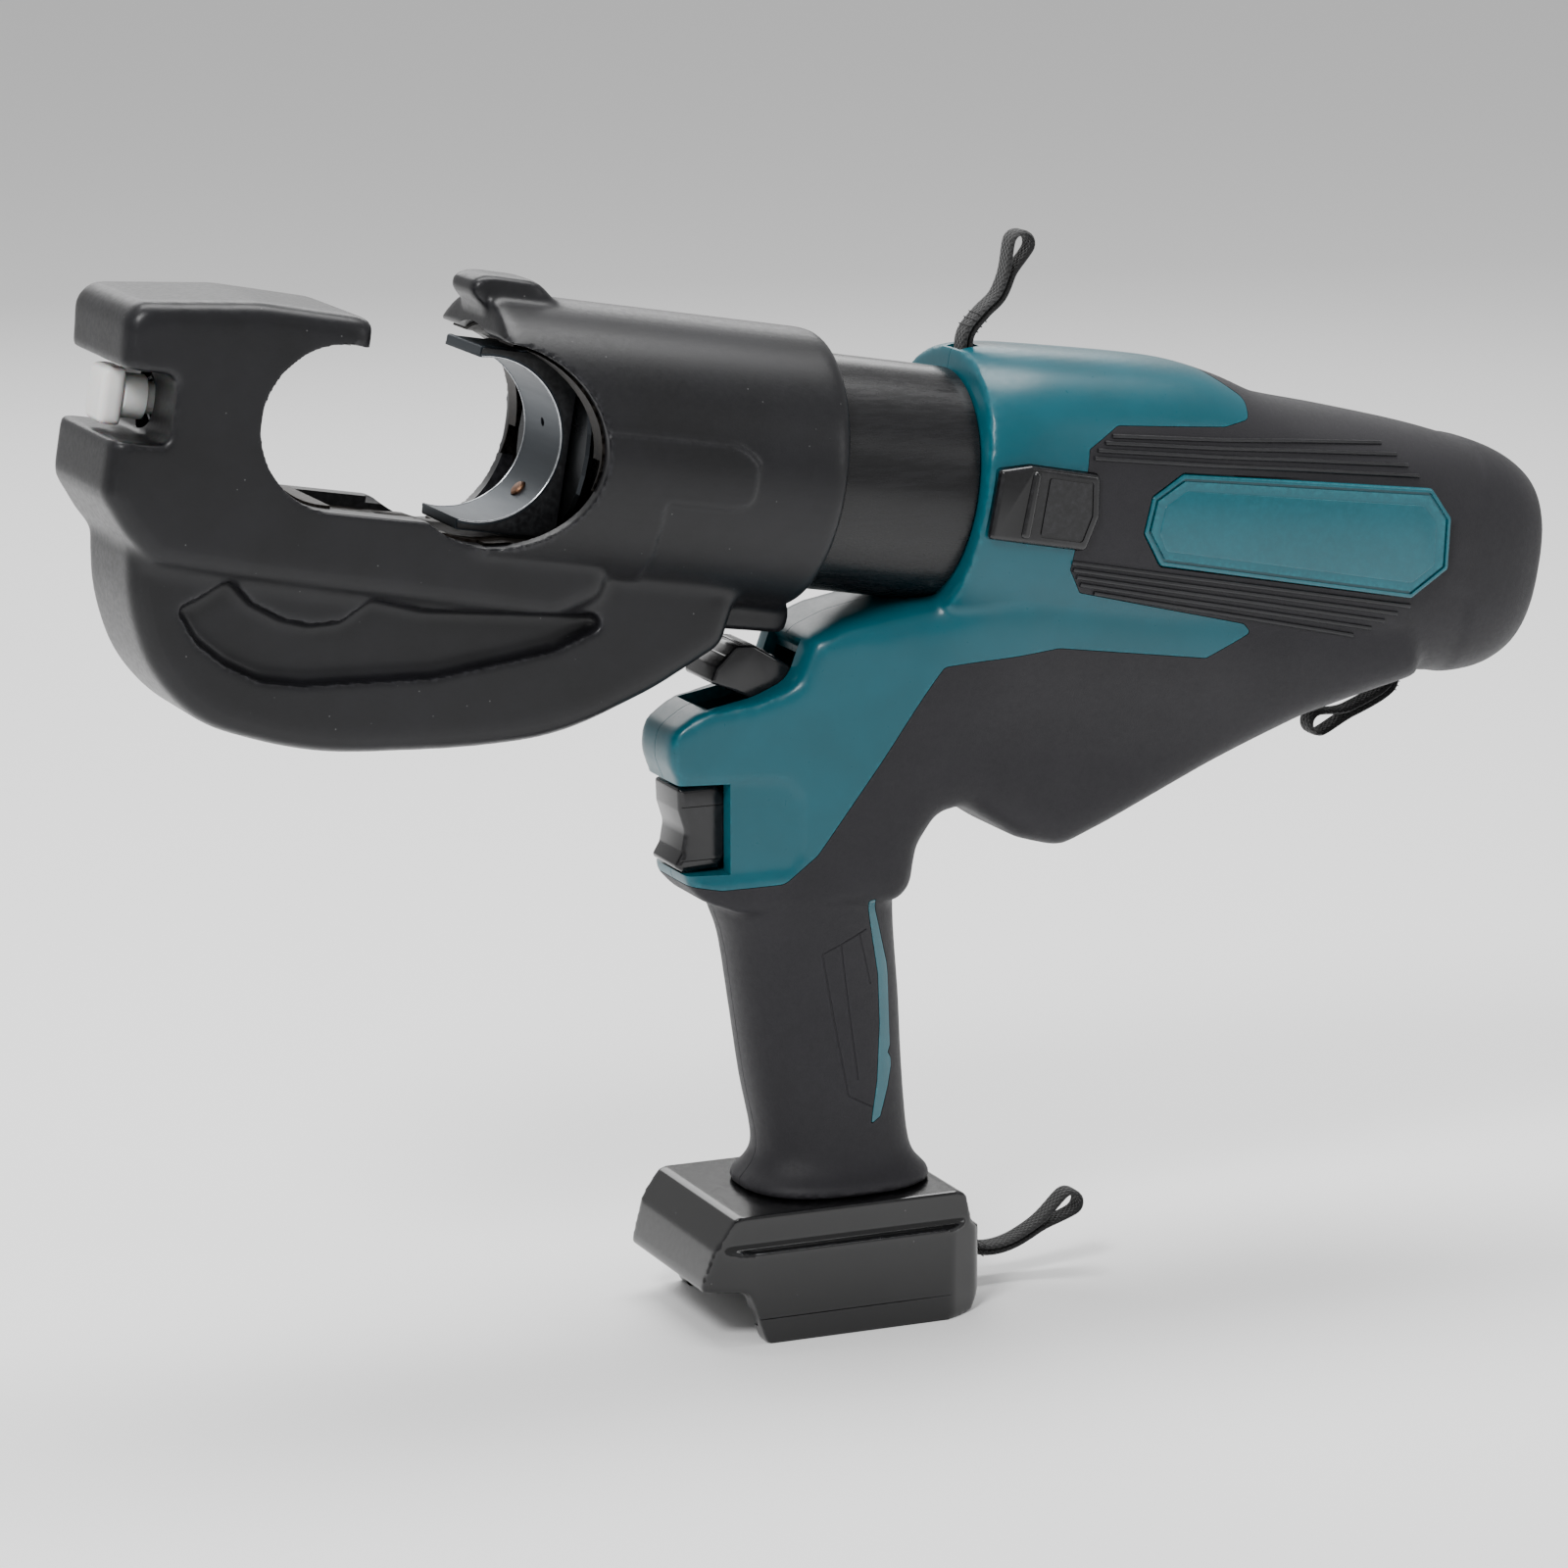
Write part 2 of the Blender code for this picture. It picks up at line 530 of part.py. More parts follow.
# z, middle x, half depth, half width
GRIP_STATIONS = [
    (GRIP_FOOT_Z, -1.6, 33.0, 27.6), (45.6, -1.6, 32.4, 26.8), (50.0, -1.7, 28.4, 22.0), (58.0, -1.8, 26.2, 19.2),
    (80.0, -5.0, 27.4, 19.0), (105.0, -7.6, 28.6, 19.4), (128.0, -10.4, 29.4, 20.6),
    (142.0, -12.6, 31.4, 22.0), (160.0, -10.0, 32.0, 22.4)]
# x, z outline of hood, neck, belly and the web behind the grip, counter-clockwise
SPINE_LINE = [
    (-60.0, 182.4, 1.0), (-58.0, 150.0, 1.5), (-52.0, 143.8, 3.0), (-41.0, 139.5, 4.0), (14.0, 139.0),
    (19.0, 144.0, 3.0), (21.0, 157.0, 6.0),
    (28.0, 167.0, 6.0), (38.0, 169.0, 6.0), (58.0, 156.0, 6.0), (73.0, 151.8, 10.0), (91.0, 159.0, 6.0),
    (126.0, 174.6, 10.0), (160.0, 189.4, 10.0), (181.0, 195.6, 10.0), (202.0, 201.0), (202.0, 225.0),
    (60.0, 262.0), (31.0, 240.0, 3.0), (10.0, 237.0, 3.0), (-4.0, 234.4, 4.0), (-17.0, 229.0, 4.0),
    (-22.0, 215.0, 5.0), (-34.0, 210.0, 4.0), (-53.0, 206.6, 6.0), (-62.6, 200.0, 5.0), (-63.8, 191.0, 3.0)]
# x, y outline of hood and neck from above: the hood narrows towards the trigger
HOOD_PLAN = [(-66.0, -13.6), (-50.0, -16.6), (-36.0, -19.6), (-14.0, -23.4), (6.0, -SPINE_HALF), (230.0, -SPINE_HALF),
             (230.0, SPINE_HALF), (6.0, SPINE_HALF), (-14.0, 23.4), (-36.0, 19.6), (-50.0, 16.6), (-66.0, 13.6)]
# a, w outline of the soft over-mould, counter-clockwise from the tail
SOFT_LINE = [
    (300.0, 70.0), (116.0, 70.0), (120.5, 48.0, 2.0), (130.0, 42.0, 3.0), (129.0, 36.0, 3.0), (119.0, 33.0, 2.0),
    (79.0, 29.5, 3.0), (69.0, 21.0, 1.0), (69.0, -18.5, 1.0), (75.0, -26.0, 2.0), (138.5, -31.0, 2.0),
    (141.5, -33.5, 2.0), (127.0, -43.5, 2.0), (73.0, -45.0, 8.0), (50.0, -52.0, 4.0), (37.5, -56.0, 3.0),
    (5.0, -122.0, 6.0), (-4.0, -132.5, 6.0), (-24.0, -137.0, 4.0), (-60.0, -137.0), (-60.0, -300.0), (300.0, -300.0)]


def smooth_value(rows, t, column):
    """Catmull-Rom value of one column along the rows, t from 0 to 1."""
    last = len(rows) - 1
    at = t * last
    i = min(int(at), last - 1)
    f = at - i
    p = [rows[min(max(i + k, 0), last)][column] for k in (-1, 0, 1, 2)]
    return 0.5 * (2 * p[1] + (p[2] - p[0]) * f + (2 * p[0] - 5 * p[1] + 4 * p[2] - p[3]) * f * f
                  + (3 * p[1] - p[0] - 3 * p[2] + p[3]) * f ** 3)


def section(half_y, low, high, power, count):
    """Superellipse section as (y, w) points."""
    middle = (low + high) / 2
    half = (high - low) / 2
    points = []
    for i in range(count):
        angle = math.tau * (i + 0.5) / count
        c = math.cos(angle)
        s = math.sin(angle)
        points.append((half_y * math.copysign(abs(c) ** (2 / power), c),
                       middle + half * math.copysign(abs(s) ** (2 / power), s)))
    return points


def loft(name, rings, matrix):
    """Closed solid through rings with equal point counts."""
    bm = bmesh.new()
    loops = [[bm.verts.new(co) for co in ring] for ring in rings]
    count = len(loops[0])
    for first, second in zip(loops, loops[1:]):
        for i in range(count):
            j = (i + 1) % count
            bm.faces.new((first[i], first[j], second[j], second[i]))
    bm.faces.new(loops[0])
    bm.faces.new(loops[-1])
    return from_bmesh(name, bm, matrix, smooth=False)


def barrel_loft(name, amount, stations, count):
    """Motor and pump barrel moved inwards by amount."""
    rings = []
    for k in range(stations):
        t = k / (stations - 1)
        a, half_y, high, low, power = (smooth_value(BARREL_STATIONS, t, c) for c in range(5))
        a += amount if k == 0 else (-amount * t ** 4)
        half_y = max(half_y - amount, 3.0)
        middle = (high + low) / 2
        half = max((high - low) / 2 - amount, 3.0)
        rings.append([(a, y, w) for y, w in section(half_y, middle - half, middle + half, power, count)])
    return loft(name, rings, RAM)


def grip_loft(name, amount, count):
    """Grip moved inwards by amount."""
    rings = []
    for k, (z, x, half_x, half_y) in enumerate(GRIP_STATIONS):
        z = max(z, GRIP_FOOT_Z + amount + 0.5 * k)
        outline = section(half_y - amount, -half_x + amount, half_x - amount, 2.5, count)
        rings.append([(x + u, v, z) for v, u in outline])
    return loft(name, rings, WORLD)


def housing_solid(name, amount, stations=STATION_COUNT, count=RING_POINTS):
    """Whole tool body moved inwards by amount, as one reusable cutter."""
    fineness = 2 if count == RING_POINTS else 1
    spine = plate(name, inset(SPINE_LINE, amount), (-SPINE_HALF + amount, SPINE_HALF - amount),
                  bevel=max(9.0 - amount, 4.0), segments=fineness, steps=fineness)
    hood = plate(name + "_plan", inset(HOOD_PLAN, amount), (-320.0, -100.0), LYING)
    combine(spine, hood, "INTERSECT", MOULDED)
    barrel_part = barrel_loft(name + "_barrel", amount, stations, count)
    grip_part = grip_loft(name + "_grip", amount, min(count, 20))
    return solid(join(spine, barrel_part, grip_part, solver=MOULDED))


outer = housing_solid("body_outer", 0.0)
soft_inner = housing_solid("body_soft_inner", SKIN - 0.2)
hard_outer = housing_solid("body_hard_outer", SKIN)
cavity = housing_solid("body_cavity", WALL, 9, 16)

# ribs that hold the pump and the motor, and bosses that take the screws
RIBS = [(52.0, 55.0), (111.0, 114.0), (150.0, 153.0), (192.0, 195.0)]
SCREWS = [ram_to_world(48.0, -40.0), ram_to_world(122.0, -36.0), ram_to_world(214.0, -30.0), (-20.0, 195.0),
          (-1.0, 146.0)]
BOSS_R = 4.6
LEVER_PIVOT = (-24.0, 211.5)
SCREW_R = 1.9
for n, (low, high) in enumerate(RIBS):
    cut(cavity, block("rib_%d" % n, (low, high), (-60.0, 60.0), (-75.0, 62.0), RAM), solver=MOULDED)
for n, (x, z) in enumerate(SCREWS):
    cut(cavity, rod("boss_%d" % n, BOSS_R, -60.0, 60.0, shift(x, 0.0, z) @ SIDE, steps=10), solver=MOULDED)
TRIGGER_WALL_X = -44.0
TRIGGER_Z = (153.0, 183.0)
cut(cavity, block("trigger_wall", (-80.0, TRIGGER_WALL_X + WALL), (-60.0, 60.0),
                  (TRIGGER_Z[0] - WALL, TRIGGER_Z[1] + WALL)), solver=MOULDED)
PIN_MATRIX = shift(LEVER_PIVOT[0], 0.0, LEVER_PIVOT[1]) @ SIDE
cut(cavity, rod("pin_boss", 4.4, -60.0, 60.0, PIN_MATRIX, steps=12), solver=MOULDED)
cavity = solid(cavity)

soft_zone = plate("soft_zone", SOFT_LINE, (-90.0, 90.0), RAM)
soft_pocket = solid(cut(copy_of(soft_zone, "soft_pocket"), hard_outer, solver=MOULDED))
soft_shape = plate("soft_shape", inset(SOFT_LINE, 0.2), (-89.0, 89.0), RAM)
soft_skin = copy_of(outer, "soft_skin")
combine(soft_skin, soft_shape, "INTERSECT", MOULDED)
cut(soft_skin, soft_inner, solver=MOULDED)
soft_skin = solid(soft_skin)

hard = cut(copy_of(outer, "hard_shell"), soft_pocket, cavity, solver=MOULDED)
drive_room = turned("drive_room", [
    (0.0, 206.0), (12.6, 206.0), (12.6, 190.0), (STATOR_R[1] + GAP, 190.0), (STATOR_R[1] + GAP, 104.0),
    (0.0, 104.0)], TURN_A)
pump_room = block("pump_room", (45.0, 101.0), (-26.3, 26.3), (-30.3, RESERVOIR_FLOOR), RAM)
reservoir_room = block("reservoir_room", (45.0, 104.5), (-20.6, 20.6), (RESERVOIR_FLOOR - 1.0, 42.0), RAM)
barrel_hole = rod("barrel_hole", BARREL_R + GAP, 20.0, COLLAR_FRONT + WALL + 0.5, TURN_A)
sleeve_room = rod("sleeve_room", SLEEVE_R + 0.4, -40.0, COLLAR_FRONT, TURN_A)
pin_hole = rod("pin_hole", 2.3, -17.3, 17.3, PIN_MATRIX, steps=16)
flange_room = rod("flange_room", FLANGE_R + GAP, COLLAR_FRONT + WALL, BARREL_REAR + 1.0, TURN_A)
trigger_slot = block("trigger_slot", (-80.0, -38.5), (-11.3, 11.3), (TRIGGER_Z[0] + 0.2, TRIGGER_Z[1] - 0.4))
trigger_notch = block("trigger_notch", (-80.0, TRIGGER_WALL_X), (-60.0, 60.0), TRIGGER_Z)
LEVER_ROOM = [(-56.0, 214.5), (-50.0, 206.0), (-40.0, 202.5, 2.0), (-24.0, 201.0, 4.0), (-15.5, 208.0, 4.0),
              (-15.0, 224.0, 2.0), (-24.0, 240.0), (-60.0, 240.0)]
lever_slot = plate("lever_slot", LEVER_ROOM, (-12.2, 12.2))
TOP_STRAP = (45.5, 313.5)
TAIL_STRAP = (207.0, 202.5)
FOOT_STRAP = (36.0, 14.0)
SLOT_HALF = 5.4
top_slot = block("top_slot", (TOP_STRAP[0] - 3.4, TOP_STRAP[0] + 3.4), (-SLOT_HALF, SLOT_HALF), (312.5, 330.0))
tail_slot = block("tail_slot", (TAIL_STRAP[0] - 3.6, TAIL_STRAP[0] + 3.0), (-SLOT_HALF, SLOT_HALF), (180.0, 203.5))
cut(hard, drive_room, pump_room, reservoir_room, barrel_hole, sleeve_room, flange_room, top_slot, tail_slot, pin_hole, trigger_notch,
    trigger_slot, lever_slot, solver=MOULDED)
cut(soft_skin, tail_slot, solver=MOULDED)
PAD_LINE = [(37.0, -11.0, 1.5), (72.0, -11.5, 2.0), (75.0, 0.0, 2.0), (73.0, 13.5, 2.0), (48.0, 14.0, 2.0),
            (37.5, 11.5, 1.5)]
BADGE_LINE = [(93.0, -4.0, 1.5), (101.0, -14.0, 2.0), (196.0, -16.0, 2.0), (208.0, -5.0, 2.0), (206.0, 12.0, 2.0),
              (197.0, 21.0, 2.0), (104.0, 16.5, 2.0), (94.0, 8.0, 1.5)]
ACCENT_LINE = [(3.0, 141.0, 1.0), (5.0, 131.0, 3.0), (8.2, 115.0, 4.0), (9.0, 98.0, 3.0), (8.0, 79.0, 3.0),
               (5.6, 64.5, 0.5), (9.0, 66.5, 1.0), (12.2, 76.0, 3.0), (14.2, 84.5, 1.0), (12.4, 87.5, 0.5),
               (14.4, 92.0, 0.5), (14.4, 99.0, 3.0), (12.0, 118.0, 5.0), (8.0, 132.0, 4.0), (5.0, 141.5, 1.0)]
PAD_BASE = 42.4
BADGE_BASE = 41.0
ACCENT_BASE = 15.2
pockets = []
for side, tag in ((-1, "left"), (1, "right")):
    pad_range = sorted((side * PAD_BASE, side * 60.0))
    badge_range = sorted((side * BADGE_BASE, side * 60.0))
    accent_range = sorted((side * ACCENT_BASE, side * 60.0))
    pockets.append(plate("pad_pocket_" + tag, inset(PAD_LINE, -0.3), pad_range, RAM))
    pockets.append(plate("badge_pocket_" + tag, inset(BADGE_LINE, -0.3), badge_range, RAM))
    pockets.append(plate("accent_pocket_" + tag, inset(ACCENT_LINE, -0.3), accent_range))
cut(hard, *pockets, solver=MOULDED)
cut(soft_skin, *pockets, solver=MOULDED)
for n, (x, z) in enumerate(SCREWS):
    matrix = shift(x, 0.0, z) @ Matrix.Rotation(math.radians(-90.0), 4, "X")
    cut(hard, rod("screw_hole_%d" % n, SCREW_R + GAP, -9.0, 60.0, matrix, steps=10), solver=MOULDED)
hard = solid(hard)
soft_skin = solid(soft_skin)

for side, tag in ((-1, "left"), (1, "right")):
    reach = (0.15, 120.0) if side > 0 else (-120.0, -0.15)
    half_space = block("half_" + tag, (-200.0, 400.0), reach, (-50.0, 500.0))
    for source, name, finish in ((hard, "housing_" + tag, TEAL), (soft_skin, "overmould_" + tag, SOFT)):
        half_body = copy_of(source, name, finish)
        combine(half_body, half_space, "INTERSECT", MOULDED)
    plate("side_pad_" + tag, PAD_LINE, sorted((side * (PAD_BASE + 0.2), side * 47.6)), RAM, BLACK, bevel=1.2)
    plate("badge_" + tag, BADGE_LINE, sorted((side * (BADGE_BASE + 0.2), side * 44.4)), RAM, TEAL, bevel=0.8)
    accent = plate("grip_accent_" + tag, ACCENT_LINE, sorted((side * (ACCENT_BASE + 0.2), side * 30.0)), WORLD, TEAL)
    combine(accent, copy_of(outer, "accent_limit_" + tag), "INTERSECT", MOULDED)

for n, (x, z) in enumerate(SCREWS):
    wall_y = (24.0, 24.0, 24.0, 20.0, 15.0)[n]
    matrix = shift(x, 0.0, z) @ Matrix.Rotation(math.radians(-90.0), 4, "X")
    rod("housing_screw_%d" % (n + 1), SCREW_R, -8.0, wall_y, matrix, STEEL, steps=10)

# === drive train ==============================================================================
ring_between("thrust_ring", FLANGE_R - 0.2, BARREL_R + GAP, COLLAR_FRONT + WALL + 0.2, BARREL_REAR - 3.8, BRASS)
pump = block("pump_block", (46.0, 84.0), (-26.0, 26.0), (-30.0, 20.0), RAM, ALLOY)
pump_arm = block("pump_arm", (80.0, 100.0), (-10.0, 10.0), (12.0, 20.0), RAM)
plunger_bore = rod("plunger_bore", 4.3, 0.0, 40.0, RAM @ shift(92.0, 0.0, 0.0), steps=20)
valve_bore = rod("valve_bore", 5.0, -60.0, -14.0, RAM @ shift(66.0, 0.0, 0.0), steps=20)
cut(join(pump, pump_arm), plunger_bore, valve_bore)
rod("pump_plunger", 4.0, CAM_R + CAM_OFFSET + GAP, RESERVOIR_FLOOR - CAM_OFFSET - GAP,
    RAM @ shift(92.0, 0.0, 0.0), STEEL, steps=20)
rod("relief_valve", 4.7, -36.0, -14.4, RAM @ shift(66.0, 0.0, 0.0), BRASS, steps=20)
block("oil_reservoir", (48.0, 104.0), (-20.0, 20.0), (RESERVOIR_FLOOR, 41.0), RAM, RUBBER, bevel=4.0)
cam = rod("eccentric_shaft", CAM_R, 87.0, 97.0, TURN_A @ shift(-CAM_OFFSET, 0.0, 0.0), BRASS, steps=28)
cam_shaft = rod("cam_shaft", 5.0, 84.4, 104.0, TURN_A, steps=20)
carrier = rod("carrier", 18.0, 103.0, 106.0, TURN_A, steps=32)
join(cam, cam_shaft, carrier)
for n in range(3):
    angle = math.radians(90.0 + 120.0 * n)
    spot = TURN_A @ shift(PLANET_ORBIT * math.cos(angle), PLANET_ORBIT * math.sin(angle), 0.0)
    join(cam, rod("planet_pin_%d" % n, 2.5, 105.0, 117.0, spot, steps=14))
    turned("planet_gear_%d" % (n + 1), [(PLANET_R, 116.5), (PLANET_R, 106.5), (2.8, 106.5), (2.8, 116.5)], spot,
           STEEL, steps=24)
ring_between("ring_gear", STATOR_R[1], RING_GEAR_R, 104.5, 119.0, STEEL)
rod("sun_pinion", SUN_R, 107.0, 117.6, TURN_A, STEEL, steps=24)
turned("motor_rotor", [
    (0.0, 204.0), (SHAFT_R, 204.0), (SHAFT_R, 180.0), (STATOR_R[0] - 0.5, 180.0), (STATOR_R[0] - 0.5, 136.0),
    (SHAFT_R, 136.0), (SHAFT_R, 118.0), (0.0, 118.0)], TURN_A, STEEL, steps=28)
ring_between("motor_stator", STATOR_R[1], STATOR_R[0], 135.0, 182.0, COPPER)
ring_between("front_bearing", STATOR_R[1], SHAFT_R + GAP, 122.0, 129.0, ALLOY)
ring_between("rear_bearing", 12.3, SHAFT_R + GAP, 192.5, 200.0, ALLOY)
ring_between("cooling_fan", 24.0, SHAFT_R + 0.2, 184.0, 189.0, BLACK)
block("controller_board", (-26.0, 12.0), (-1.2, 1.2), (88.0, 128.0), WORLD, BOARD)

# === controls =================================================================================
TRIGGER_LINE = [(-46.0, 154.0, 1.0), (-42.0, 158.0, 1.0), (-42.0, 178.0, 1.0), (-46.0, 182.0, 1.0),
                (-59.5, 181.6, 1.5), (-59.2, 174.0, 4.0), (-57.0, 167.0, 6.0), (-58.2, 160.0, 4.0),
                (-60.8, 155.6, 1.5), (-58.0, 153.6, 1.0)]
plate("trigger", TRIGGER_LINE, (-10.9, 10.9), WORLD, BLACK, bevel=1.2)
block("switch_body", (-34.0, -8.0), (-11.0, 11.0), (152.0, 184.0), WORLD, BLACK, bevel=1.0)
coil("trigger_spring", 3.2, 0.5, -41.6, -34.4, 4, shift(0.0, 0.0, 168.0) @ ALONG_A, STEEL)
LEVER_LINE = [(-30.0, 206.5, 3.0), (-24.0, 205.5, 4.0), (-17.6, 210.0, 4.0), (-18.6, 217.5, 2.0), (-23.0, 220.5, 1.0),
              (-33.0, 226.6, 3.0), (-39.5, 227.0, 3.0), (-46.5, 220.5, 2.0), (-48.5, 215.5, 1.5), (-40.0, 212.0, 3.0)]
lever = plate("release_lever", LEVER_LINE, (-11.8, 11.8), WORLD, BLACK, bevel=1.0)
pivot_bore = rod("pivot_bore", 2.3, -30.0, 30.0, PIN_MATRIX, steps=16)
cut(lever, pivot_bore)
rod("lever_pin", 2.0, -17.0, 17.0, PIN_MATRIX, STEEL, steps=16)

# === foot =====================================================================================
FOOT_LINE = [(-39.8, 0.0, 1.0), (36.0, 0.0, 2.0), (FOOT_REAR, 8.0, 2.0), (FOOT_REAR, 28.0, 2.0), (36.0, SHOULDER_Z, 1.0),
             (33.0, FOOT_TOP_Z, 3.0), (-49.0, FOOT_TOP_Z, 3.0), (-56.0, SHOULDER_Z + 1.0, 1.0),
             (FOOT_FRONT, FRONT_BOTTOM_Z, 1.0), (SKIRT_FRONT, FRONT_BOTTOM_Z, 1.0)]
foot = plate("battery_foot", FOOT_LINE, (-FOOT_HALF, FOOT_HALF), WORLD, BLACK)
FOOT_PLAN = [(-62.0, -30.0, 6.0), (-44.0, -FOOT_HALF, 6.0), (26.0, -FOOT_HALF, 8.0), (FOOT_REAR, -29.0, 9.0),
             (FOOT_REAR, 29.0, 9.0), (26.0, FOOT_HALF, 8.0), (-44.0, FOOT_HALF, 6.0), (-62.0, 30.0, 6.0)]
plan = plate("foot_plan", FOOT_PLAN, (-80.0, 80.0), LYING)
combine(foot, plan, "INTERSECT")
for side in (-1, 1):
    tag = "left" if side < 0 else "right"
    reach = sorted((side * 33.5, side * 60.0))
    cut(foot, block("shoulder_" + tag, (-90.0, 90.0), reach, (SHOULDER_Z, 80.0)))
bay = block("battery_bay", (-90.0, BAY_REAR), (-BAY_HALF, BAY_HALF), (-5.0, BAY_ROOF_Z))
rail_room = block("rail_room", (-90.0, BAY_REAR - 2.0), (-BAY_HALF - 3.0, BAY_HALF + 3.0), (5.0, 11.0))
foot_slot = block("foot_slot", (FOOT_STRAP[0] - 1.0, 60.0), (-SLOT_HALF, SLOT_HALF), (11.0, 17.0))
cut(foot, join(bay, rail_room), foot_slot)
soften_edges(foot, 1.2)
BLADE_Y = (-14.0, 14.0)
block("terminal_block", (2.0, BAY_REAR - GAP), (-22.0, 22.0), (5.0, BAY_ROOF_Z - SEAT_AIR), WORLD, BLACK, bevel=1.0)
for tag, y in zip(("plus", "minus"), BLADE_Y):
    block("terminal_" + tag, (-14.0, 1.7), (y - 0.5, y + 0.5), (6.0, 12.3), WORLD, BRASS)

# === carrying loops ===========================================================================
STRAP = 1.3
STRAP_HALF = 4.6


def strap(name, path, half, y=0.0):
    """Folded webbing as a closed band outline; the path is its middle line."""
    left = []
    right = []
    last = len(path) - 1
    for i, (x, z) in enumerate(path):
        before = Vector(path[max(i - 1, 0)])
        after = Vector(path[min(i + 1, last)])
        along = (after - before).normalized()
        side = Vector((-along.y, along.x)) * STRAP
        left.append((x + side.x, z + side.y, 0.6))
        right.append((x - side.x, z - side.y, 0.6))
    return plate(name, list(reversed(left)) + right, (y - half, y + half), WORLD, WEB, steps=1)


strap("strap_loop_top", [TOP_STRAP, (46.5, 322.0), (52.0, 328.5), (58.0, 334.0), (62.0, 343.0), (66.0, 355.0)], STRAP_HALF)
strap("strap_loop_tail", [TAIL_STRAP, (207.0, 194.5), (203.0, 190.0), (190.0, 184.5), (177.0, 181.5)], STRAP_HALF)
strap("strap_loop_foot", [FOOT_STRAP, (46.0, 13.0), (56.0, 10.5), (66.0, 12.0), (78.0, 18.0), (90.0, 25.0)], STRAP_HALF)
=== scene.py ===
"""Looks of a cordless hydraulic crimping tool: swivelling C-shaped head, pistol grip, battery foot.

World frame in metres, +Z up, nose towards -X. Ram frame: a along the ram axis towards the tail, y across,
w square to the axis and upwards. Outlines are millimetres, (a, w) in the ram frame or (x, z) in the world.
"""
import logging
import math
from dataclasses import dataclass, field
from enum import Enum
from typing import Any, Callable, Dict, List, Optional, Sequence, Tuple

import bmesh
import bpy
from mathutils import Matrix, Vector
from mathutils.bvhtree import BVHTree


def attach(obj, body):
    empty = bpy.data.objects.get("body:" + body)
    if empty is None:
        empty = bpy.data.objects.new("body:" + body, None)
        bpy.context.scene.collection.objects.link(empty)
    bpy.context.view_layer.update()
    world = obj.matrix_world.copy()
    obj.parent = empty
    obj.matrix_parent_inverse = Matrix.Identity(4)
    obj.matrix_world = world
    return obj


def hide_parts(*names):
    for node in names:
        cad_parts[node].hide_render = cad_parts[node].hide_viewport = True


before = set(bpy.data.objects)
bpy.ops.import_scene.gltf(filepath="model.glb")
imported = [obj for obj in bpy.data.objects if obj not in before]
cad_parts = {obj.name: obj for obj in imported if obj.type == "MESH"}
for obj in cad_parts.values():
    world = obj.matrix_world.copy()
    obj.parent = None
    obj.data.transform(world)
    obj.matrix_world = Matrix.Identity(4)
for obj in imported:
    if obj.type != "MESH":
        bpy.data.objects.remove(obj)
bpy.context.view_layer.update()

LOG = logging.getLogger("crimping_tool")

Row = Tuple[float, ...]
Outline = List[Row]

MM = 0.001
TILT = math.radians(9.5)
RAM = Matrix.Translation((-0.8 * MM, 0.0, 279.2 * MM)) @ Matrix.Rotation(TILT, 4, "Y")
WORLD = Matrix.Identity(4)
GAP = 0.3                      # clearance between pieces that touch, mm
WEAR = "edge_wear"             # vertex attribute: how exposed an edge is to rubbing
OUTSIDE = 60                   # how far across a cutter reaches past the sides, mm
ACROSS = (-OUTSIDE, OUTSIDE)
TAPE_SLOT = (-5.4, 5.4)        # slots that the carrying loops come out of, across, mm
LEVER_AXIS = (-24, 211.5)      # (x, z) of the thumb lever's pin, mm


# === nodes ====================================================================================
def add_node(tree: bpy.types.NodeTree, kind: str, settings: Optional[Dict[Any, Any]] = None,
             links: Optional[Dict[Any, bpy.types.NodeSocket]] = None) -> bpy.types.Node:
    """Add one node to a shader or geometry tree.

    Args:
        tree: Tree that takes the node.
        kind: Node type.
        settings: Socket names or indices with values, or property names with values.
        links: Input names or indices with the outputs that feed them.

    Returns:
        The new node.
    """
    node = tree.nodes.new(kind)
    for key, value in (settings or {}).items():
        if isinstance(key, str) and hasattr(node, key):
            setattr(node, key, value)
        else:
            node.inputs[key].default_value = value
    for key, output in (links or {}).items():
        tree.links.new(output, node.inputs[key])
    return node


def linear(code: str) -> Tuple[float, float, float, float]:
    """Linear RGBA of an sRGB hex colour."""
    channels = [int(code[i:i + 2], 16) / 255 for i in (1, 3, 5)]
    return (*[c / 12.92 if c <= 0.04045 else ((c + 0.055) / 1.055) ** 2.4 for c in channels], 1.0)


# === finishes =================================================================================
class Grain(Enum):
    """How the fine relief of a surface is drawn."""

    SPARKED = "spark-eroded mould skin"
    HIDE = "leather-like moulded hide"
    BRUSHED = "straight grinding or drawing marks"
    CAST = "pitted cast or forged skin"
    WEBBING = "woven tape, read from the UV map"
    WOUND = "side-by-side wire turns"
    LAMINATE = "printed tracks on a board"


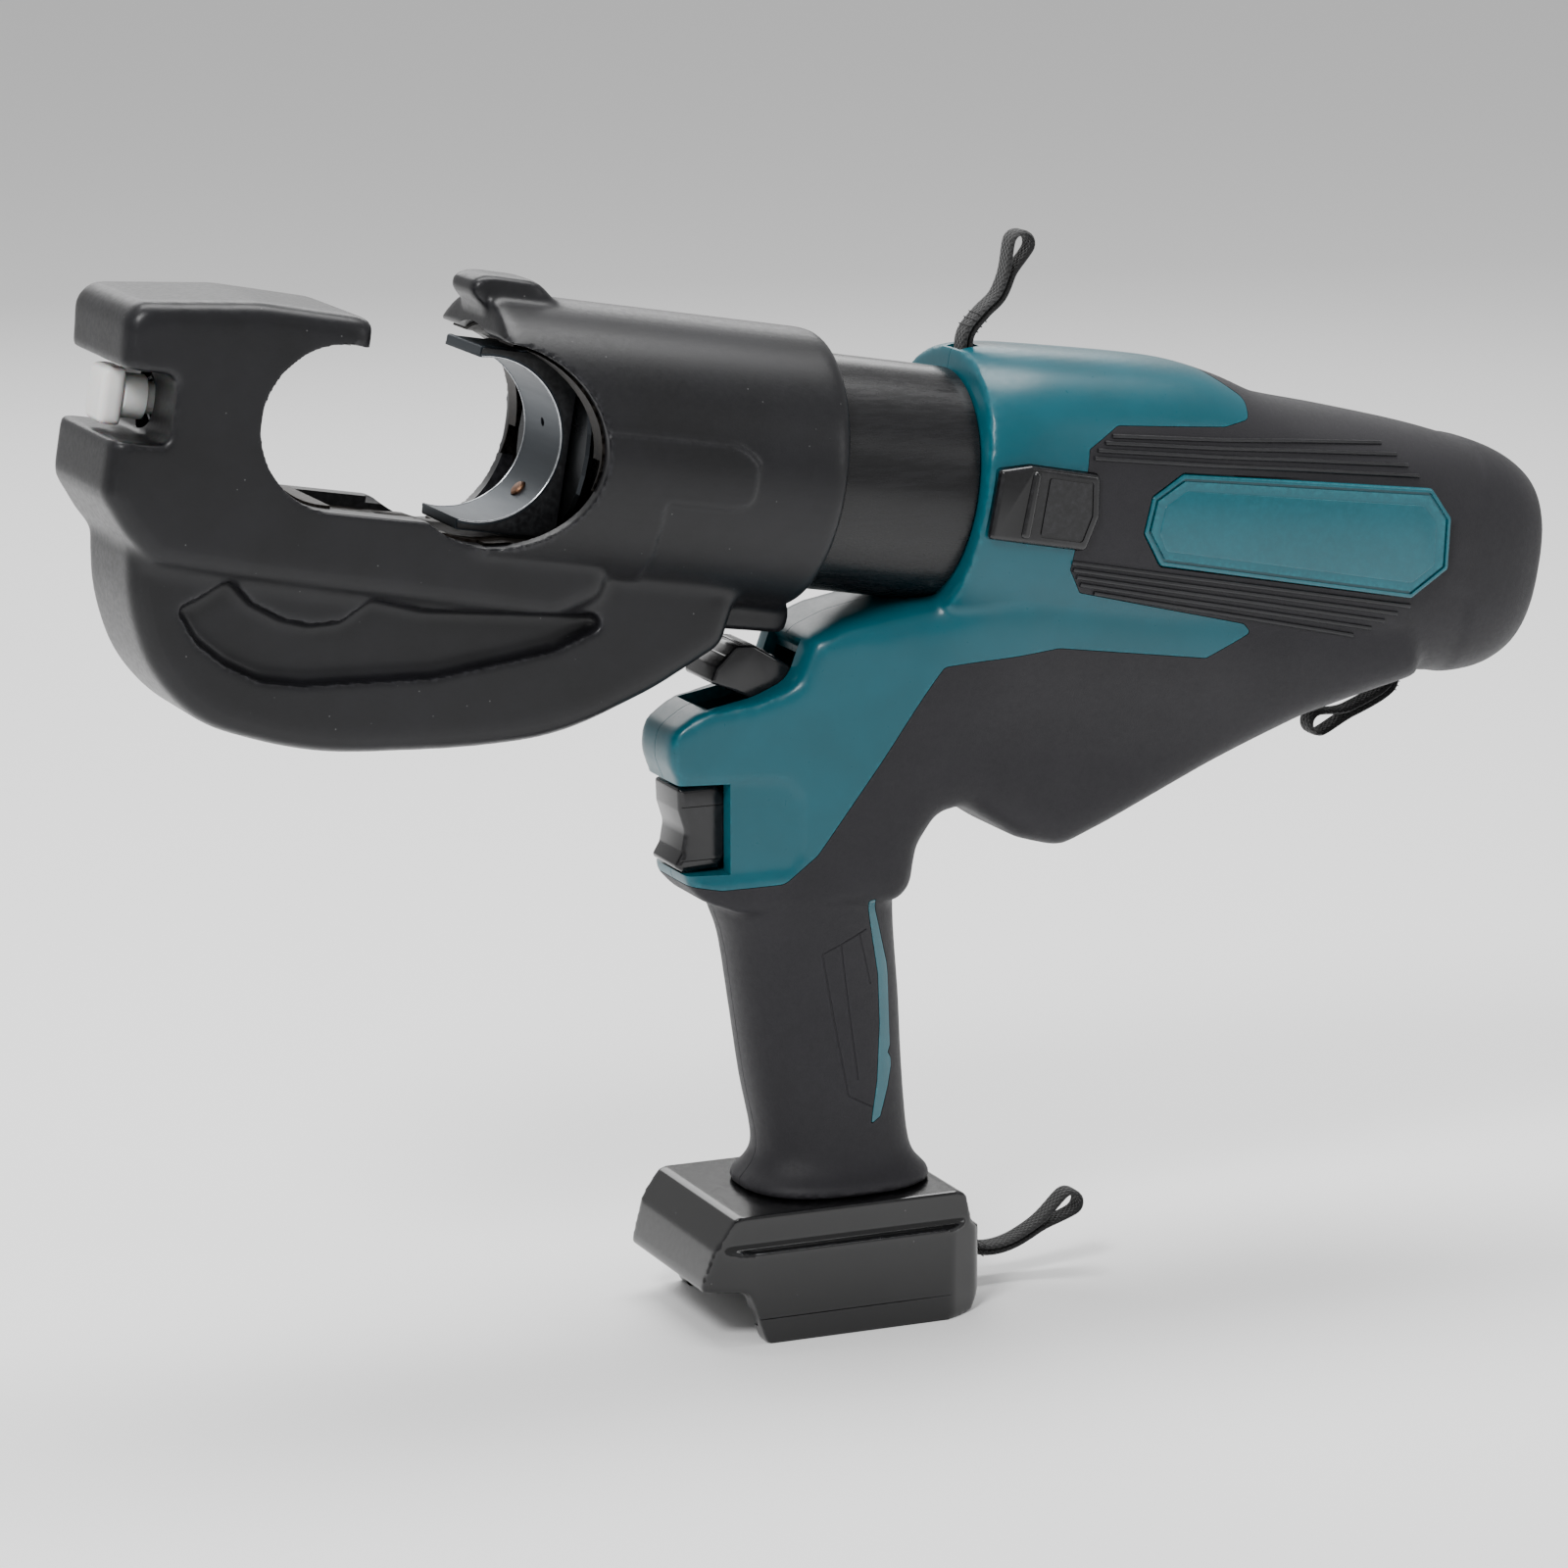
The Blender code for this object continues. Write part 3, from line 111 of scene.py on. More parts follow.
@dataclass(frozen=True)
class Finish:
    """One material: what it is made of and how its surface was made."""

    name: str
    slot: str
    colour: str
    shade: str
    worn: str
    roughness: float
    spread: float
    grain: Grain
    grain_mm: float
    depth_mm: float
    metallic: float = 0.0
    ior: float = 1.5
    wear: float = 0.5
    dust: float = 0.0
    coat: float = 0.0
    subsurface: float = 0.0
    sheen: float = 0.0
    specular: float = 0.5
    along: Tuple[float, float, float] = (1.0, 1.0, 1.0)

    def relief(self, tree: bpy.types.NodeTree, place: bpy.types.NodeSocket) -> bpy.types.NodeSocket:
        """Height of the fine relief, 0 to 1.

        Args:
            tree: Material's node tree.
            place: Coordinates in millimetres.

        Returns:
            The socket that carries the height.
        """
        scale = 1.0 / self.grain_mm
        if self.grain is Grain.HIDE:
            cells = add_node(tree, "ShaderNodeTexVoronoi", {"feature": "DISTANCE_TO_EDGE", "Scale": scale},
                             {"Vector": place})
            creases = add_node(tree, "ShaderNodeMapRange", {"From Max": 0.12},
                               {"Value": cells.outputs["Distance"]})
            pores = add_node(tree, "ShaderNodeTexNoise", {"Scale": 2.4 * scale, "Detail": 2.0},
                             {"Vector": place})
            return add_node(tree, "ShaderNodeMath", {"operation": "MULTIPLY"},
                            {0: creases.outputs[0], 1: pores.outputs["Fac"]}).outputs[0]
        if self.grain is Grain.WEBBING:
            ridges = []
            for turn in (math.pi / 4, -math.pi / 4):
                turned_place = add_node(tree, "ShaderNodeMapping", {"Rotation": (0.0, 0.0, turn)},
                                        {"Vector": place})
                ridges.append(add_node(tree, "ShaderNodeTexWave", {"Scale": 0.32 * scale, "Distortion": 0.6,
                                                                   "Detail": 1.0},
                                       {"Vector": turned_place.outputs[0]}).outputs["Fac"])
            return add_node(tree, "ShaderNodeMath", {"operation": "MAXIMUM"},
                            {0: ridges[0], 1: ridges[1]}).outputs[0]
        if self.grain is Grain.WOUND:
            return add_node(tree, "ShaderNodeTexWave", {"Scale": 0.32 * scale, "Distortion": 0.4},
                            {"Vector": place}).outputs["Fac"]
        if self.grain is Grain.LAMINATE:
            return add_node(tree, "ShaderNodeTexBrick", {"Scale": 0.3 * scale, "Mortar Size": 0.03},
                            {"Vector": place}).outputs["Fac"]
        detail = {Grain.SPARKED: 2.0, Grain.BRUSHED: 1.0, Grain.CAST: 6.0}[self.grain]
        return add_node(tree, "ShaderNodeTexNoise", {"Scale": scale, "Detail": detail, "Roughness": 0.6},
                        {"Vector": place}).outputs["Fac"]

    def material(self) -> bpy.types.Material:
        """Node material of this finish, made once."""
        known = bpy.data.materials.get(self.name)
        if known:
            return known
        made = bpy.data.materials.new(self.name)
        made.use_nodes = True
        tree = made.node_tree
        shader = tree.nodes["Principled BSDF"]
        coords = add_node(tree, "ShaderNodeTexCoord")
        source = coords.outputs["UV" if self.grain is Grain.WEBBING else "Object"]
        in_mm = add_node(tree, "ShaderNodeMapping", {"Scale": [1000.0 * k for k in self.along]},
                         {"Vector": source})
        place = in_mm.outputs[0]
        clouds = add_node(tree, "ShaderNodeTexNoise", {"Scale": 0.035, "Detail": 4.0, "Roughness": 0.62},
                          {"Vector": place})
        cloudy = add_node(tree, "ShaderNodeMapRange", {"From Min": 0.35, "From Max": 0.65},
                          {"Value": clouds.outputs["Fac"]})
        tone = add_node(tree, "ShaderNodeMix",
                        {"data_type": "RGBA", 6: linear(self.colour), 7: linear(self.shade)},
                        {0: cloudy.outputs[0]})
        scuffs = add_node(tree, "ShaderNodeTexNoise", {"Scale": 0.55, "Detail": 5.0, "Roughness": 0.7},
                          {"Vector": place})
        rubbed = add_node(tree, "ShaderNodeMapRange",
                          {"From Min": 0.42, "From Max": 0.68, "To Max": self.wear},
                          {"Value": scuffs.outputs["Fac"]})
        exposed = add_node(tree, "ShaderNodeAttribute", {"attribute_name": WEAR})
        worn = add_node(tree, "ShaderNodeMath", {"operation": "MULTIPLY", "use_clamp": True},
                        {0: rubbed.outputs[0], 1: exposed.outputs["Fac"]})
        colour = add_node(tree, "ShaderNodeMix", {"data_type": "RGBA", 7: linear(self.worn)},
                          {0: worn.outputs[0], 6: tone.outputs[2]}).outputs[2]
        if self.dust:
            motes = add_node(tree, "ShaderNodeTexVoronoi", {"Scale": 0.16, "Randomness": 1.0},
                             {"Vector": place})
            mote = add_node(tree, "ShaderNodeMapRange",
                            {"From Min": 0.05, "From Max": 0.02, "To Max": self.dust},
                            {"Value": motes.outputs["Distance"]})
            colour = add_node(tree, "ShaderNodeMix", {"data_type": "RGBA", 7: linear("#8C8C8C")},
                              {0: mote.outputs[0], 6: colour}).outputs[2]
        gloss = add_node(tree, "ShaderNodeMapRange", {"From Min": 0.3, "From Max": 0.7,
                                                      "To Min": self.roughness - self.spread,
                                                      "To Max": self.roughness + self.spread},
                         {"Value": scuffs.outputs["Fac"]})
        bump = add_node(tree, "ShaderNodeBump", {"Strength": 0.8, "Distance": self.depth_mm * MM},
                        {"Height": self.relief(tree, place)})
        tree.links.new(colour, shader.inputs["Base Color"])
        tree.links.new(gloss.outputs[0], shader.inputs["Roughness"])
        tree.links.new(bump.outputs[0], shader.inputs["Normal"])
        shader.inputs["Metallic"].default_value = self.metallic
        if not self.metallic:
            shader.inputs["IOR"].default_value = self.ior
        shader.inputs["Specular IOR Level"].default_value = self.specular
        shader.inputs["Coat Weight"].default_value = self.coat
        shader.inputs["Subsurface Weight"].default_value = self.subsurface
        shader.inputs["Subsurface Scale"].default_value = 0.004
        shader.inputs["Sheen Weight"].default_value = self.sheen
        return made


# Nitrile rubber cover, compression moulded: charcoal, satin, a faint mottle and a little dust.
COVER_RUBBER = Finish("nitrile_rubber_moulded", "cover_rubber", "#101012", "#161619", "#37373B", 0.36, 0.06,
                      Grain.SPARKED, 0.9, 0.03, ior=1.5, wear=0.5, dust=0.3, specular=0.3)
# Extruded rubber sleeve: smoother and darker than the cover, with a long soft highlight.
SLEEVE_RUBBER = Finish("nitrile_rubber_extruded", "cover_rubber", "#08080A", "#0E0E10", "#262629", 0.27, 0.05,
                       Grain.BRUSHED, 1.6, 0.008, ior=1.52, wear=0.3, dust=0.3, specular=0.36,
                       along=(0.12, 1.0, 1.0))
# Polyurethane seal, lathe cut: dull, slightly waxy.
SEAL_RUBBER = Finish("polyurethane_seal_turned", "seal_rubber", "#3A2F22", "#453828", "#5A4A36", 0.5, 0.05,
                     Grain.BRUSHED, 0.8, 0.02, wear=0.3)
# Forged alloy steel, phosphated and oiled: near-black grey metal that shows pits.
JAW_STEEL = Finish("alloy_steel_phosphated", "jaw_steel", "#0D0C0C", "#1E1814", "#5E5A56", 0.5, 0.1,
                   Grain.CAST, 1.2, 0.04, metallic=1.0, wear=0.5)
# Ground piston steel under black oxide: dark and glossy, with fine lines round it.
RAM_STEEL = Finish("piston_steel_ground", "ram_steel", "#2B2D30", "#34373A", "#8A8D90", 0.3, 0.06,
                   Grain.BRUSHED, 0.6, 0.01, metallic=1.0, along=(1.0, 0.1, 0.1))
# Machined die holder, blued by oil: blue-grey metal with milling marks and bright rims.
HOLDER_STEEL = Finish("die_steel_milled", "holder_steel", "#3E444A", "#383E44", "#F0F2F4", 0.46, 0.02,
                      Grain.BRUSHED, 0.9, 0.0003, metallic=1.0, wear=0.0, along=(1.0, 0.08, 1.0))
# Rims of the seat, rubbed bright by the die halves: polished steel.
RIM_STEEL = Finish("die_steel_polished", "holder_steel", "#B9BDC2", "#A9ADB2", "#F2F4F6", 0.22, 0.04,
                   Grain.BRUSHED, 0.6, 0.0005, metallic=1.0)
# Blackened flanks of the die holder: the same steel under black oxide.
FLANK_STEEL = Finish("die_steel_black_oxide", "ram_steel", "#0B0B0C", "#121214", "#3C3E40", 0.42, 0.05,
                     Grain.BRUSHED, 0.9, 0.002, wear=0.5, specular=0.4)
# Sintered bronze pin: brown and pitted.
DETENT_BRONZE = Finish("bronze_sintered", "detent_pin", "#6E5140", "#8A6650", "#B08A6C", 0.5, 0.1,
                       Grain.CAST, 0.7, 0.06, metallic=1.0)
# Acetal, injection moulded: milky white that lets a little light in.
BUTTON_ACETAL = Finish("acetal_natural_moulded", "button_plastic", "#ECECEA", "#E2E2DF", "#FFFFFF", 0.34,
                       0.05, Grain.SPARKED, 1.2, 0.012, ior=1.48, wear=0.2, subsurface=0.25)
# Spring steel wire, drawn: bright grey with fine lines.
SPRING_STEEL = Finish("spring_steel_drawn", "spring_steel", "#7C7E80", "#8E9092", "#B8BABC", 0.3, 0.06,
                      Grain.BRUSHED, 0.5, 0.01, metallic=1.0)
# Glass-filled nylon, moulded in teal: satin with a fine spark-eroded skin.
HOUSING_NYLON = Finish("nylon_teal_moulded", "housing_plastic", "#004C58", "#004651", "#127A87", 0.32, 0.05,
                       Grain.SPARKED, 0.7, 0.012, ior=1.53, wear=0.35, specular=0.36)
# Nylon badge plate from a polished tool: the same teal with more gloss.
BADGE_NYLON = Finish("nylon_teal_polished", "badge_plastic", "#00515D", "#004C57", "#1A8793", 0.2, 0.03,
                     Grain.SPARKED, 1.4, 0.002, ior=1.53, wear=0.3)
# Thermoplastic elastomer over-mould: dry charcoal with a soft hide grain.
OVERMOULD_TPE = Finish("elastomer_hide_moulded", "overmould_elastomer", "#1C1B1F", "#17161A", "#343338", 0.58,
                       0.06, Grain.HIDE, 0.9, 0.05, ior=1.47, wear=0.4, sheen=0.03, specular=0.34)
# Ribs of the over-mould, moulded against polished steel: glossier, with sharper highlights. Their colour is a
# shade darker than the over-mould, which is painted shade of the grooves between the ribs.
RIB_TPE_GROOVE_SHADE = Finish("elastomer_ribs_painted_groove_shade", "overmould_elastomer", "#121214", "#18181B", "#38383C", 0.38,
                 0.06, Grain.SPARKED, 0.8, 0.02, ior=1.47, wear=0.4, specular=0.4)
# ABS switch parts from a fine-textured tool: black with a soft sheen.
CONTROL_ABS = Finish("abs_black_fine_moulded", "control_plastic", "#08080A", "#0D0D0F", "#2A2A2E", 0.2, 0.04,
                     Grain.SPARKED, 0.8, 0.008, ior=1.54, wear=0.5, specular=0.42)
# Polycarbonate blend foot, nearly polished: deep black and glossy.
FOOT_PC = Finish("polycarbonate_black_moulded", "foot_plastic", "#050506", "#09090A", "#2C2C30", 0.17, 0.04,
                 Grain.SPARKED, 1.0, 0.004, ior=1.58, wear=0.45, dust=0.25, specular=0.42)
# Spring brass contact, stamped: warm bright metal.
CONTACT_BRASS = Finish("brass_stamped", "contact_brass", "#C9A253", "#B8913F", "#E6C987", 0.28, 0.06,
                       Grain.BRUSHED, 0.6, 0.01, metallic=1.0)
# Aluminium pump body, die cast and machined: pale grey metal.
PUMP_ALLOY = Finish("aluminium_die_cast", "pump_alloy", "#A6A8AA", "#96999B", "#D5D7D9", 0.42, 0.08,
                    Grain.CAST, 1.0, 0.04, metallic=1.0)
# Enamelled copper wire, wound: red-brown turns side by side.
WINDING_COPPER = Finish("copper_wire_wound", "winding_copper", "#8E4B2B", "#A25A36", "#C98A62", 0.32, 0.06,
                        Grain.WOUND, 1.2, 0.2, metallic=1.0)
# Glass-epoxy board with solder mask: green with lighter tracks.
BOARD_EPOXY = Finish("glass_epoxy_printed", "board_laminate", "#14522D", "#1B6438", "#6E9A74", 0.38, 0.05,
                     Grain.LAMINATE, 2.5, 0.05)
# Polyester tape, plain woven: matt black with small chevrons, drawn at 1.6 mm so that they show.
WEBBING = Finish("polyester_tape_woven", "strap_webbing", "#070708", "#0D0D0E", "#222225", 0.8, 0.05,
                 Grain.WEBBING, 1.6, 0.45, sheen=0.12, wear=0.5)
# Zinc-plated screw steel: grey with a yellowish cast.
SCREW_STEEL = Finish("steel_zinc_plated", "screw_steel", "#8B8C88", "#7B7C79", "#C7C8C4", 0.3, 0.08,
                     Grain.CAST, 0.8, 0.02, metallic=1.0)


# === outlines and solids ======================================================================
def rounded(points: Sequence[Row], steps: int) -> List[Vector]:
    """Outline with its corners rounded.

    Args:
        points: (x, z) or (x, z, radius) corners, counter-clockwise.
        steps: Segments of each corner.

    Returns:
        The points, steps + 1 for every corner.
    """
    result = []
    count = len(points)
    for i, point in enumerate(points):
        corner = Vector(point[:2])
        back = Vector(points[i - 1][:2]) - corner
        ahead = Vector(points[(i + 1) % count][:2]) - corner
        radius = point[2] if len(point) > 2 else 0.0
        if min(back.length, ahead.length) < 1e-6:
            result += [corner] * (steps + 1)
            continue
        half = min(max(back.angle(ahead) / 2, 0.02), 1.55)
        reach = min(radius / math.tan(half), back.length * 0.48, ahead.length * 0.48)
        start = corner + back.normalized() * reach
        end = corner + ahead.normalized() * reach
        for k in range(steps + 1):
            t = k / max(steps, 1)
            result.append(start * (1 - t) ** 2 + corner * 2 * t * (1 - t) + end * t * t)
    return result


def inset(points: Sequence[Row], amount: float) -> Outline:
    """Counter-clockwise outline moved inwards by amount."""
    result = []
    count = len(points)
    for i, point in enumerate(points):
        p = Vector(point[:2])
        u = (p - Vector(points[i - 1][:2])).normalized()
        v = (Vector(points[(i + 1) % count][:2]) - p).normalized()
        middle = Vector((-u.y - v.y, u.x + v.x))
        moved = p + middle * (amount / max(middle.dot(Vector((-u.y, u.x))), 0.35))
        radius = point[2] if len(point) > 2 else 0.0
        convex = u.x * v.y - u.y * v.x > 0
        radius = max(radius - amount, 0.0) if convex else radius + max(amount, 0.0)
        result.append((moved.x, moved.y, radius))
    return result


def smooth_value(rows: Sequence[Row], t: float, column: int) -> float:
    """Catmull-Rom value of one column along the rows, t from 0 to 1."""
    last = len(rows) - 1
    at = t * last
    i = min(int(at), last - 1)
    f = at - i
    p = [rows[min(max(i + k, 0), last)][column] for k in (-1, 0, 1, 2)]
    return 0.5 * (2 * p[1] + (p[2] - p[0]) * f + (2 * p[0] - 5 * p[1] + 4 * p[2] - p[3]) * f * f
                  + (3 * p[1] - p[0] - 3 * p[2] + p[3]) * f ** 3)


def disc(middle: float, radius: float, steps: int = 128) -> Outline:
    """Round outline about (middle, 0)."""
    turns = [math.tau * i / steps for i in range(steps)]
    return [(middle + radius * math.cos(turn), radius * math.sin(turn)) for turn in turns]


def eased(t: float) -> float:
    """Smooth step from 0 to 1, level at both ends."""
    t = min(max(t, 0.0), 1.0)
    return t * t * (3 - 2 * t)


class Shape:
    """A closed solid being worked on. Its mesh is in metres."""

    def __init__(self, mesh: bpy.types.Mesh) -> None:
        """Takes a finished mesh."""
        self.mesh = mesh

    @classmethod
    def from_bmesh(cls, bm: bmesh.types.BMesh) -> "Shape":
        """Solid from a bmesh in millimetres, which is freed."""
        bmesh.ops.scale(bm, vec=(MM, MM, MM), verts=bm.verts)
        bmesh.ops.remove_doubles(bm, verts=bm.verts, dist=2e-6)
        bmesh.ops.dissolve_degenerate(bm, edges=bm.edges, dist=2e-6)
        bmesh.ops.recalc_face_normals(bm, faces=bm.faces)
        mesh = bpy.data.meshes.new("work")
        bm.to_mesh(mesh)
        bm.free()
        return cls(mesh)

    @classmethod
    def loft(cls, rings: Sequence[Sequence[Row]], closed: bool = False) -> "Shape":
        """Solid through rings of equal point counts.

        Args:
            rings: Rings of (x, y, z) points.
            closed: Whether the last ring meets the first, as on a tube.

        Returns:
            The solid.
        """
        bm = bmesh.new()
        loops = [[bm.verts.new(co) for co in ring] for ring in rings]
        count = len(loops[0])
        pairs = list(zip(loops, loops[1:]))
        if closed:
            pairs.append((loops[-1], loops[0]))
        for first, second in pairs:
            for i in range(count):
                j = (i + 1) % count
                bm.faces.new((first[i], first[j], second[j], second[i]))
        if not closed:
            bm.faces.new(loops[0])
            bm.faces.new(loops[-1])
        return cls.from_bmesh(bm)

    def copy(self) -> "Shape":
        """Second solid with its own mesh."""
        return Shape(self.mesh.copy())

    def placed(self, matrix: Matrix) -> "Shape":
        """The solid moved by a matrix."""
        self.mesh.transform(matrix)
        return self

    def worked(self, dress: Callable[[bpy.types.Object], None]) -> "Shape":
        """The solid with modifiers applied.

        Args:
            dress: Puts the modifiers on the object that it is given.

        Returns:
            This solid.
        """
        work = bpy.data.objects.new("work", self.mesh)
        bpy.context.scene.collection.objects.link(work)
        dress(work)
        graph = bpy.context.evaluated_depsgraph_get()
        graph.update()
        self.mesh = bpy.data.meshes.new_from_object(work.evaluated_get(graph))
        bpy.data.objects.remove(work, do_unlink=True)
        return self

    def _combined(self, operation: str, tools: Sequence["Shape"]) -> "Shape":
        """The solid with the tools combined in turn."""
        cutters = [bpy.data.objects.new("cutter", tool.mesh) for tool in tools]

        def dress(work: bpy.types.Object) -> None:
            """Adds one Boolean for each cutter."""
            for cutter in cutters:
                bpy.context.scene.collection.objects.link(cutter)
                boolean = work.modifiers.new("boolean", "BOOLEAN")
                boolean.operation = operation
                boolean.solver = "MANIFOLD"
                boolean.object = cutter

        self.worked(dress)
        for cutter in cutters:
            bpy.data.objects.remove(cutter, do_unlink=True)
        if not self.mesh.polygons:
            LOG.error("%s left nothing", operation)
        return self

    def minus(self, *tools: "Shape") -> "Shape":
        """The solid with the tools taken away."""
        return self._combined("DIFFERENCE", tools)

    def plus(self, *tools: "Shape") -> "Shape":
        """The solid with the tools added."""
        return self._combined("UNION", tools)

    def within(self, *tools: "Shape") -> "Shape":
        """What the solid shares with the tools."""
        return self._combined("INTERSECT", tools)

    def with_shells(self, *others: "Shape") -> "Shape":
        """The solid with other closed shells beside or through it."""
        bm = bmesh.new()
        for shape in (self, *others):
            bm.from_mesh(shape.mesh)
        mesh = bpy.data.meshes.new("work")
        bm.to_mesh(mesh)
        bm.free()
        self.mesh = mesh
        return self

    def softened(self, voxel: float, passes: int) -> "Shape":
        """The solid as one even skin with its edges and hollows rounded.

        Args:
            voxel: Size of the skin's faces, mm.
            passes: Smoothing passes; more give rounder edges.

        Returns:
            This solid.
        """
        def dress(work: bpy.types.Object) -> None:
            """Adds the remesh and the smoothing."""
            remesh = work.modifiers.new("skin", "REMESH")
            remesh.mode = "VOXEL"
            remesh.voxel_size = voxel * MM
            if passes:
                smooth = work.modifiers.new("rounding", "SMOOTH")
                smooth.factor = 0.5
                smooth.iterations = passes

        return self.worked(dress)

    def shifted(self, rule: Callable[[Vector], Vector]) -> "Shape":
        """The solid with every vertex moved by a rule on its place in metres."""
        for vertex in self.mesh.vertices:
            vertex.co = rule(vertex.co.copy())
        return self


def plate(points: Sequence[Row], low: float, high: float, rim: float = 0.0, steps: int = 5) -> Shape:
    """Side-view outline given thickness across.

    Args:
        points: Outline in mm, counter-clockwise.
        low: Lower y limit.
        high: Upper y limit.
        rim: Radius of the rounded rims.
        steps: Segments of each corner.

    Returns:
        The solid, in the frame of its outline.
    """
    rim_steps = 4 if rim else 0
    levels = []
    for k in range(rim_steps + 1):
        angle = 0.5 * math.pi * k / max(rim_steps, 1)
        levels.append((rim * (1 - math.sin(angle)), rim * (1 - math.cos(angle))))
    layers = [(amount, low + rise) for amount, rise in levels]
    layers += [(amount, high - rise) for amount, rise in reversed(levels)]
    rings = []
    for amount, y in layers:
        outline = rounded(inset(points, amount), steps)
        rings.append([(p.x, y, p.y) for p in outline])
    return Shape.loft(rings)


def turned(profile: Sequence[Tuple[float, float]], segments: int = 96, bored: bool = False) -> Shape:
    """Solid turned about the ram axis.

    Args:
        profile: (radius, a) points in mm.
        segments: Faces round the axis.
        bored: Whether the profile closes on itself round a bore.

    Returns:
        The solid in the ram frame.
    """
    rings = []
    for radius, a in profile:
        rings.append([(a, max(radius, 1e-4) * math.cos(math.tau * i / segments),
                       max(radius, 1e-4) * math.sin(math.tau * i / segments)) for i in range(segments)])
    return Shape.loft(rings, closed=bored)


def rod(radius: float, low: float, high: float, segments: int = 64) -> Shape:
    """Cylinder about the ram axis from a = low to a = high."""
    return turned([(radius, low), (radius, high)], segments)


def cross_rod(x: float, z: float, radius: float, low: float, high: float, segments: int = 40) -> Shape:
    """Cylinder across the tool."""
    circle = [(x + radius * math.cos(math.tau * i / segments), z + radius * math.sin(math.tau * i / segments))
              for i in range(segments)]
    return plate(circle, low, high, steps=0)


def box(x: Row, y: Row, z: Row) -> Shape:
    """Box cutter between (low, high) limits."""
    return plate([(x[0], z[0]), (x[1], z[0]), (x[1], z[1]), (x[0], z[1])], y[0], y[1], steps=0)


def lying(points: Sequence[Row], low: float, high: float) -> Shape:
    """Plan outline (x, y), counter-clockwise from above, given height between two z values."""
    flipped = [(x, -y, *r) for x, y, *r in reversed(points)]
    return plate(flipped, low, high).placed(Matrix.Rotation(math.radians(90.0), 4, "X"))


def ram_to_world(a: float, w: float) -> Tuple[float, float]:
    """World x, z in millimetres of a point of the ram frame."""
    spot = RAM @ Vector((a * MM, 0.0, w * MM))
    return (spot.x / MM, spot.z / MM)


def each_side() -> List[Tuple[int, str]]:
    """The two sides of the tool with their tags."""
    return [(-1, "left"), (1, "right")]


def span(side: int, near: float, far: float) -> Tuple[float, float]:
    """Limits across on one side of the tool, lower first."""
    return (side * near, side * far) if side > 0 else (side * far, side * near)


def paint_wear(mesh: bpy.types.Mesh) -> None:
    """Store how far each vertex stands out on a convex edge, 0 to 1."""
    bm = bmesh.new()
    bm.from_mesh(mesh)
    value = [0.0] * len(bm.verts)
    for edge in bm.edges:
        angle = edge.calc_face_angle_signed(0.0)
        if angle > 0.05:
            bend = angle / max(edge.calc_length(), 0.0008)
            amount = min(max((bend - 110.0) / 500.0, 0.0), 1.0)
            for vertex in edge.verts:
                value[vertex.index] = max(value[vertex.index], amount)
    bm.free()
    layer = mesh.attributes.get(WEAR) or mesh.attributes.new(WEAR, "FLOAT", "POINT")
    layer.data.foreach_set("value", value)


def finish_piece(shape: Shape, name: str, finish: Finish, body: str, stands_for: Sequence[str] = (),
                 sharp: float = 34.0) -> bpy.types.Object:
    """Turn a solid into a finished piece that rides on a body.

    Args:
        shape: The solid, already in the world frame.
        name: Name of the piece.
        finish: Its material.
        body: Body that carries it.
        stands_for: CAD nodes that it is shown in place of.
        sharp: Angle in degrees past which an edge stays crisp.

    Returns:
        The object.
    """
    mesh = shape.mesh
    mesh.name = name
    mesh.materials.clear()
    mesh.materials.append(finish.material())
    mesh.polygons.foreach_set("material_index", [0] * len(mesh.polygons))
    mesh.polygons.foreach_set("use_smooth", [True] * len(mesh.polygons))
    mesh.set_sharp_from_angle(angle=math.radians(sharp))
    paint_wear(mesh)
    piece = bpy.data.objects.new(name, mesh)
    bpy.context.scene.collection.objects.link(piece)
    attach(piece, body)
    if stands_for:
        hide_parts(*stands_for)
    LOG.info("%s: %d faces in %s", name, len(mesh.polygons), finish.name)
    return piece


def dress(finish: Finish, *nodes: str) -> None:
    """Give carried-over CAD nodes a finish."""
    for node in nodes:
        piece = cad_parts[node]
        if not piece.material_slots:
            piece.data.materials.append(finish.material())
        for material_slot in piece.material_slots:
            material_slot.material = finish.material()
        LOG.info("%s keeps its shape in %s", node, finish.name)


class Skin:
    """Outer surface of a solid, for laying lines on it."""

    def __init__(self, shape: Shape) -> None:
        """Takes the solid in the world frame."""
        mesh = shape.mesh
        self.tree = BVHTree.FromPolygons([v.co.copy() for v in mesh.vertices],
                                         [tuple(p.vertices) for p in mesh.polygons])

    def line(self, points: Sequence[Row], side: int, matrix: Matrix, proud: float,
             step: float = 2.5) -> List[Vector]:
        """Points of a side-view line laid on the surface.

        Args:
            points: (a, w) or (x, z) corners in mm.
            side: -1 for the left side, 1 for the right.
            matrix: Frame of the points.
            proud: How far the line stands off the surface, mm.
            step: Spacing of the points, mm.

        Returns:
            World points in metres.
        """
        result = []
        for first, second in zip(points, points[1:]):
            start = Vector(first[:2])
            end = Vector(second[:2])
            count = max(int((end - start).length / step), 1)
            for k in range(count + (second is points[-1])):
                spot = start.lerp(end, k / count)
                origin = matrix @ Vector((spot.x * MM, 0.2 * side, spot.y * MM))
                hit, normal, _, _ = self.tree.ray_cast(origin, Vector((0.0, -side, 0.0)))
                if hit is not None:
                    result.append(hit + normal * proud * MM)
        return result


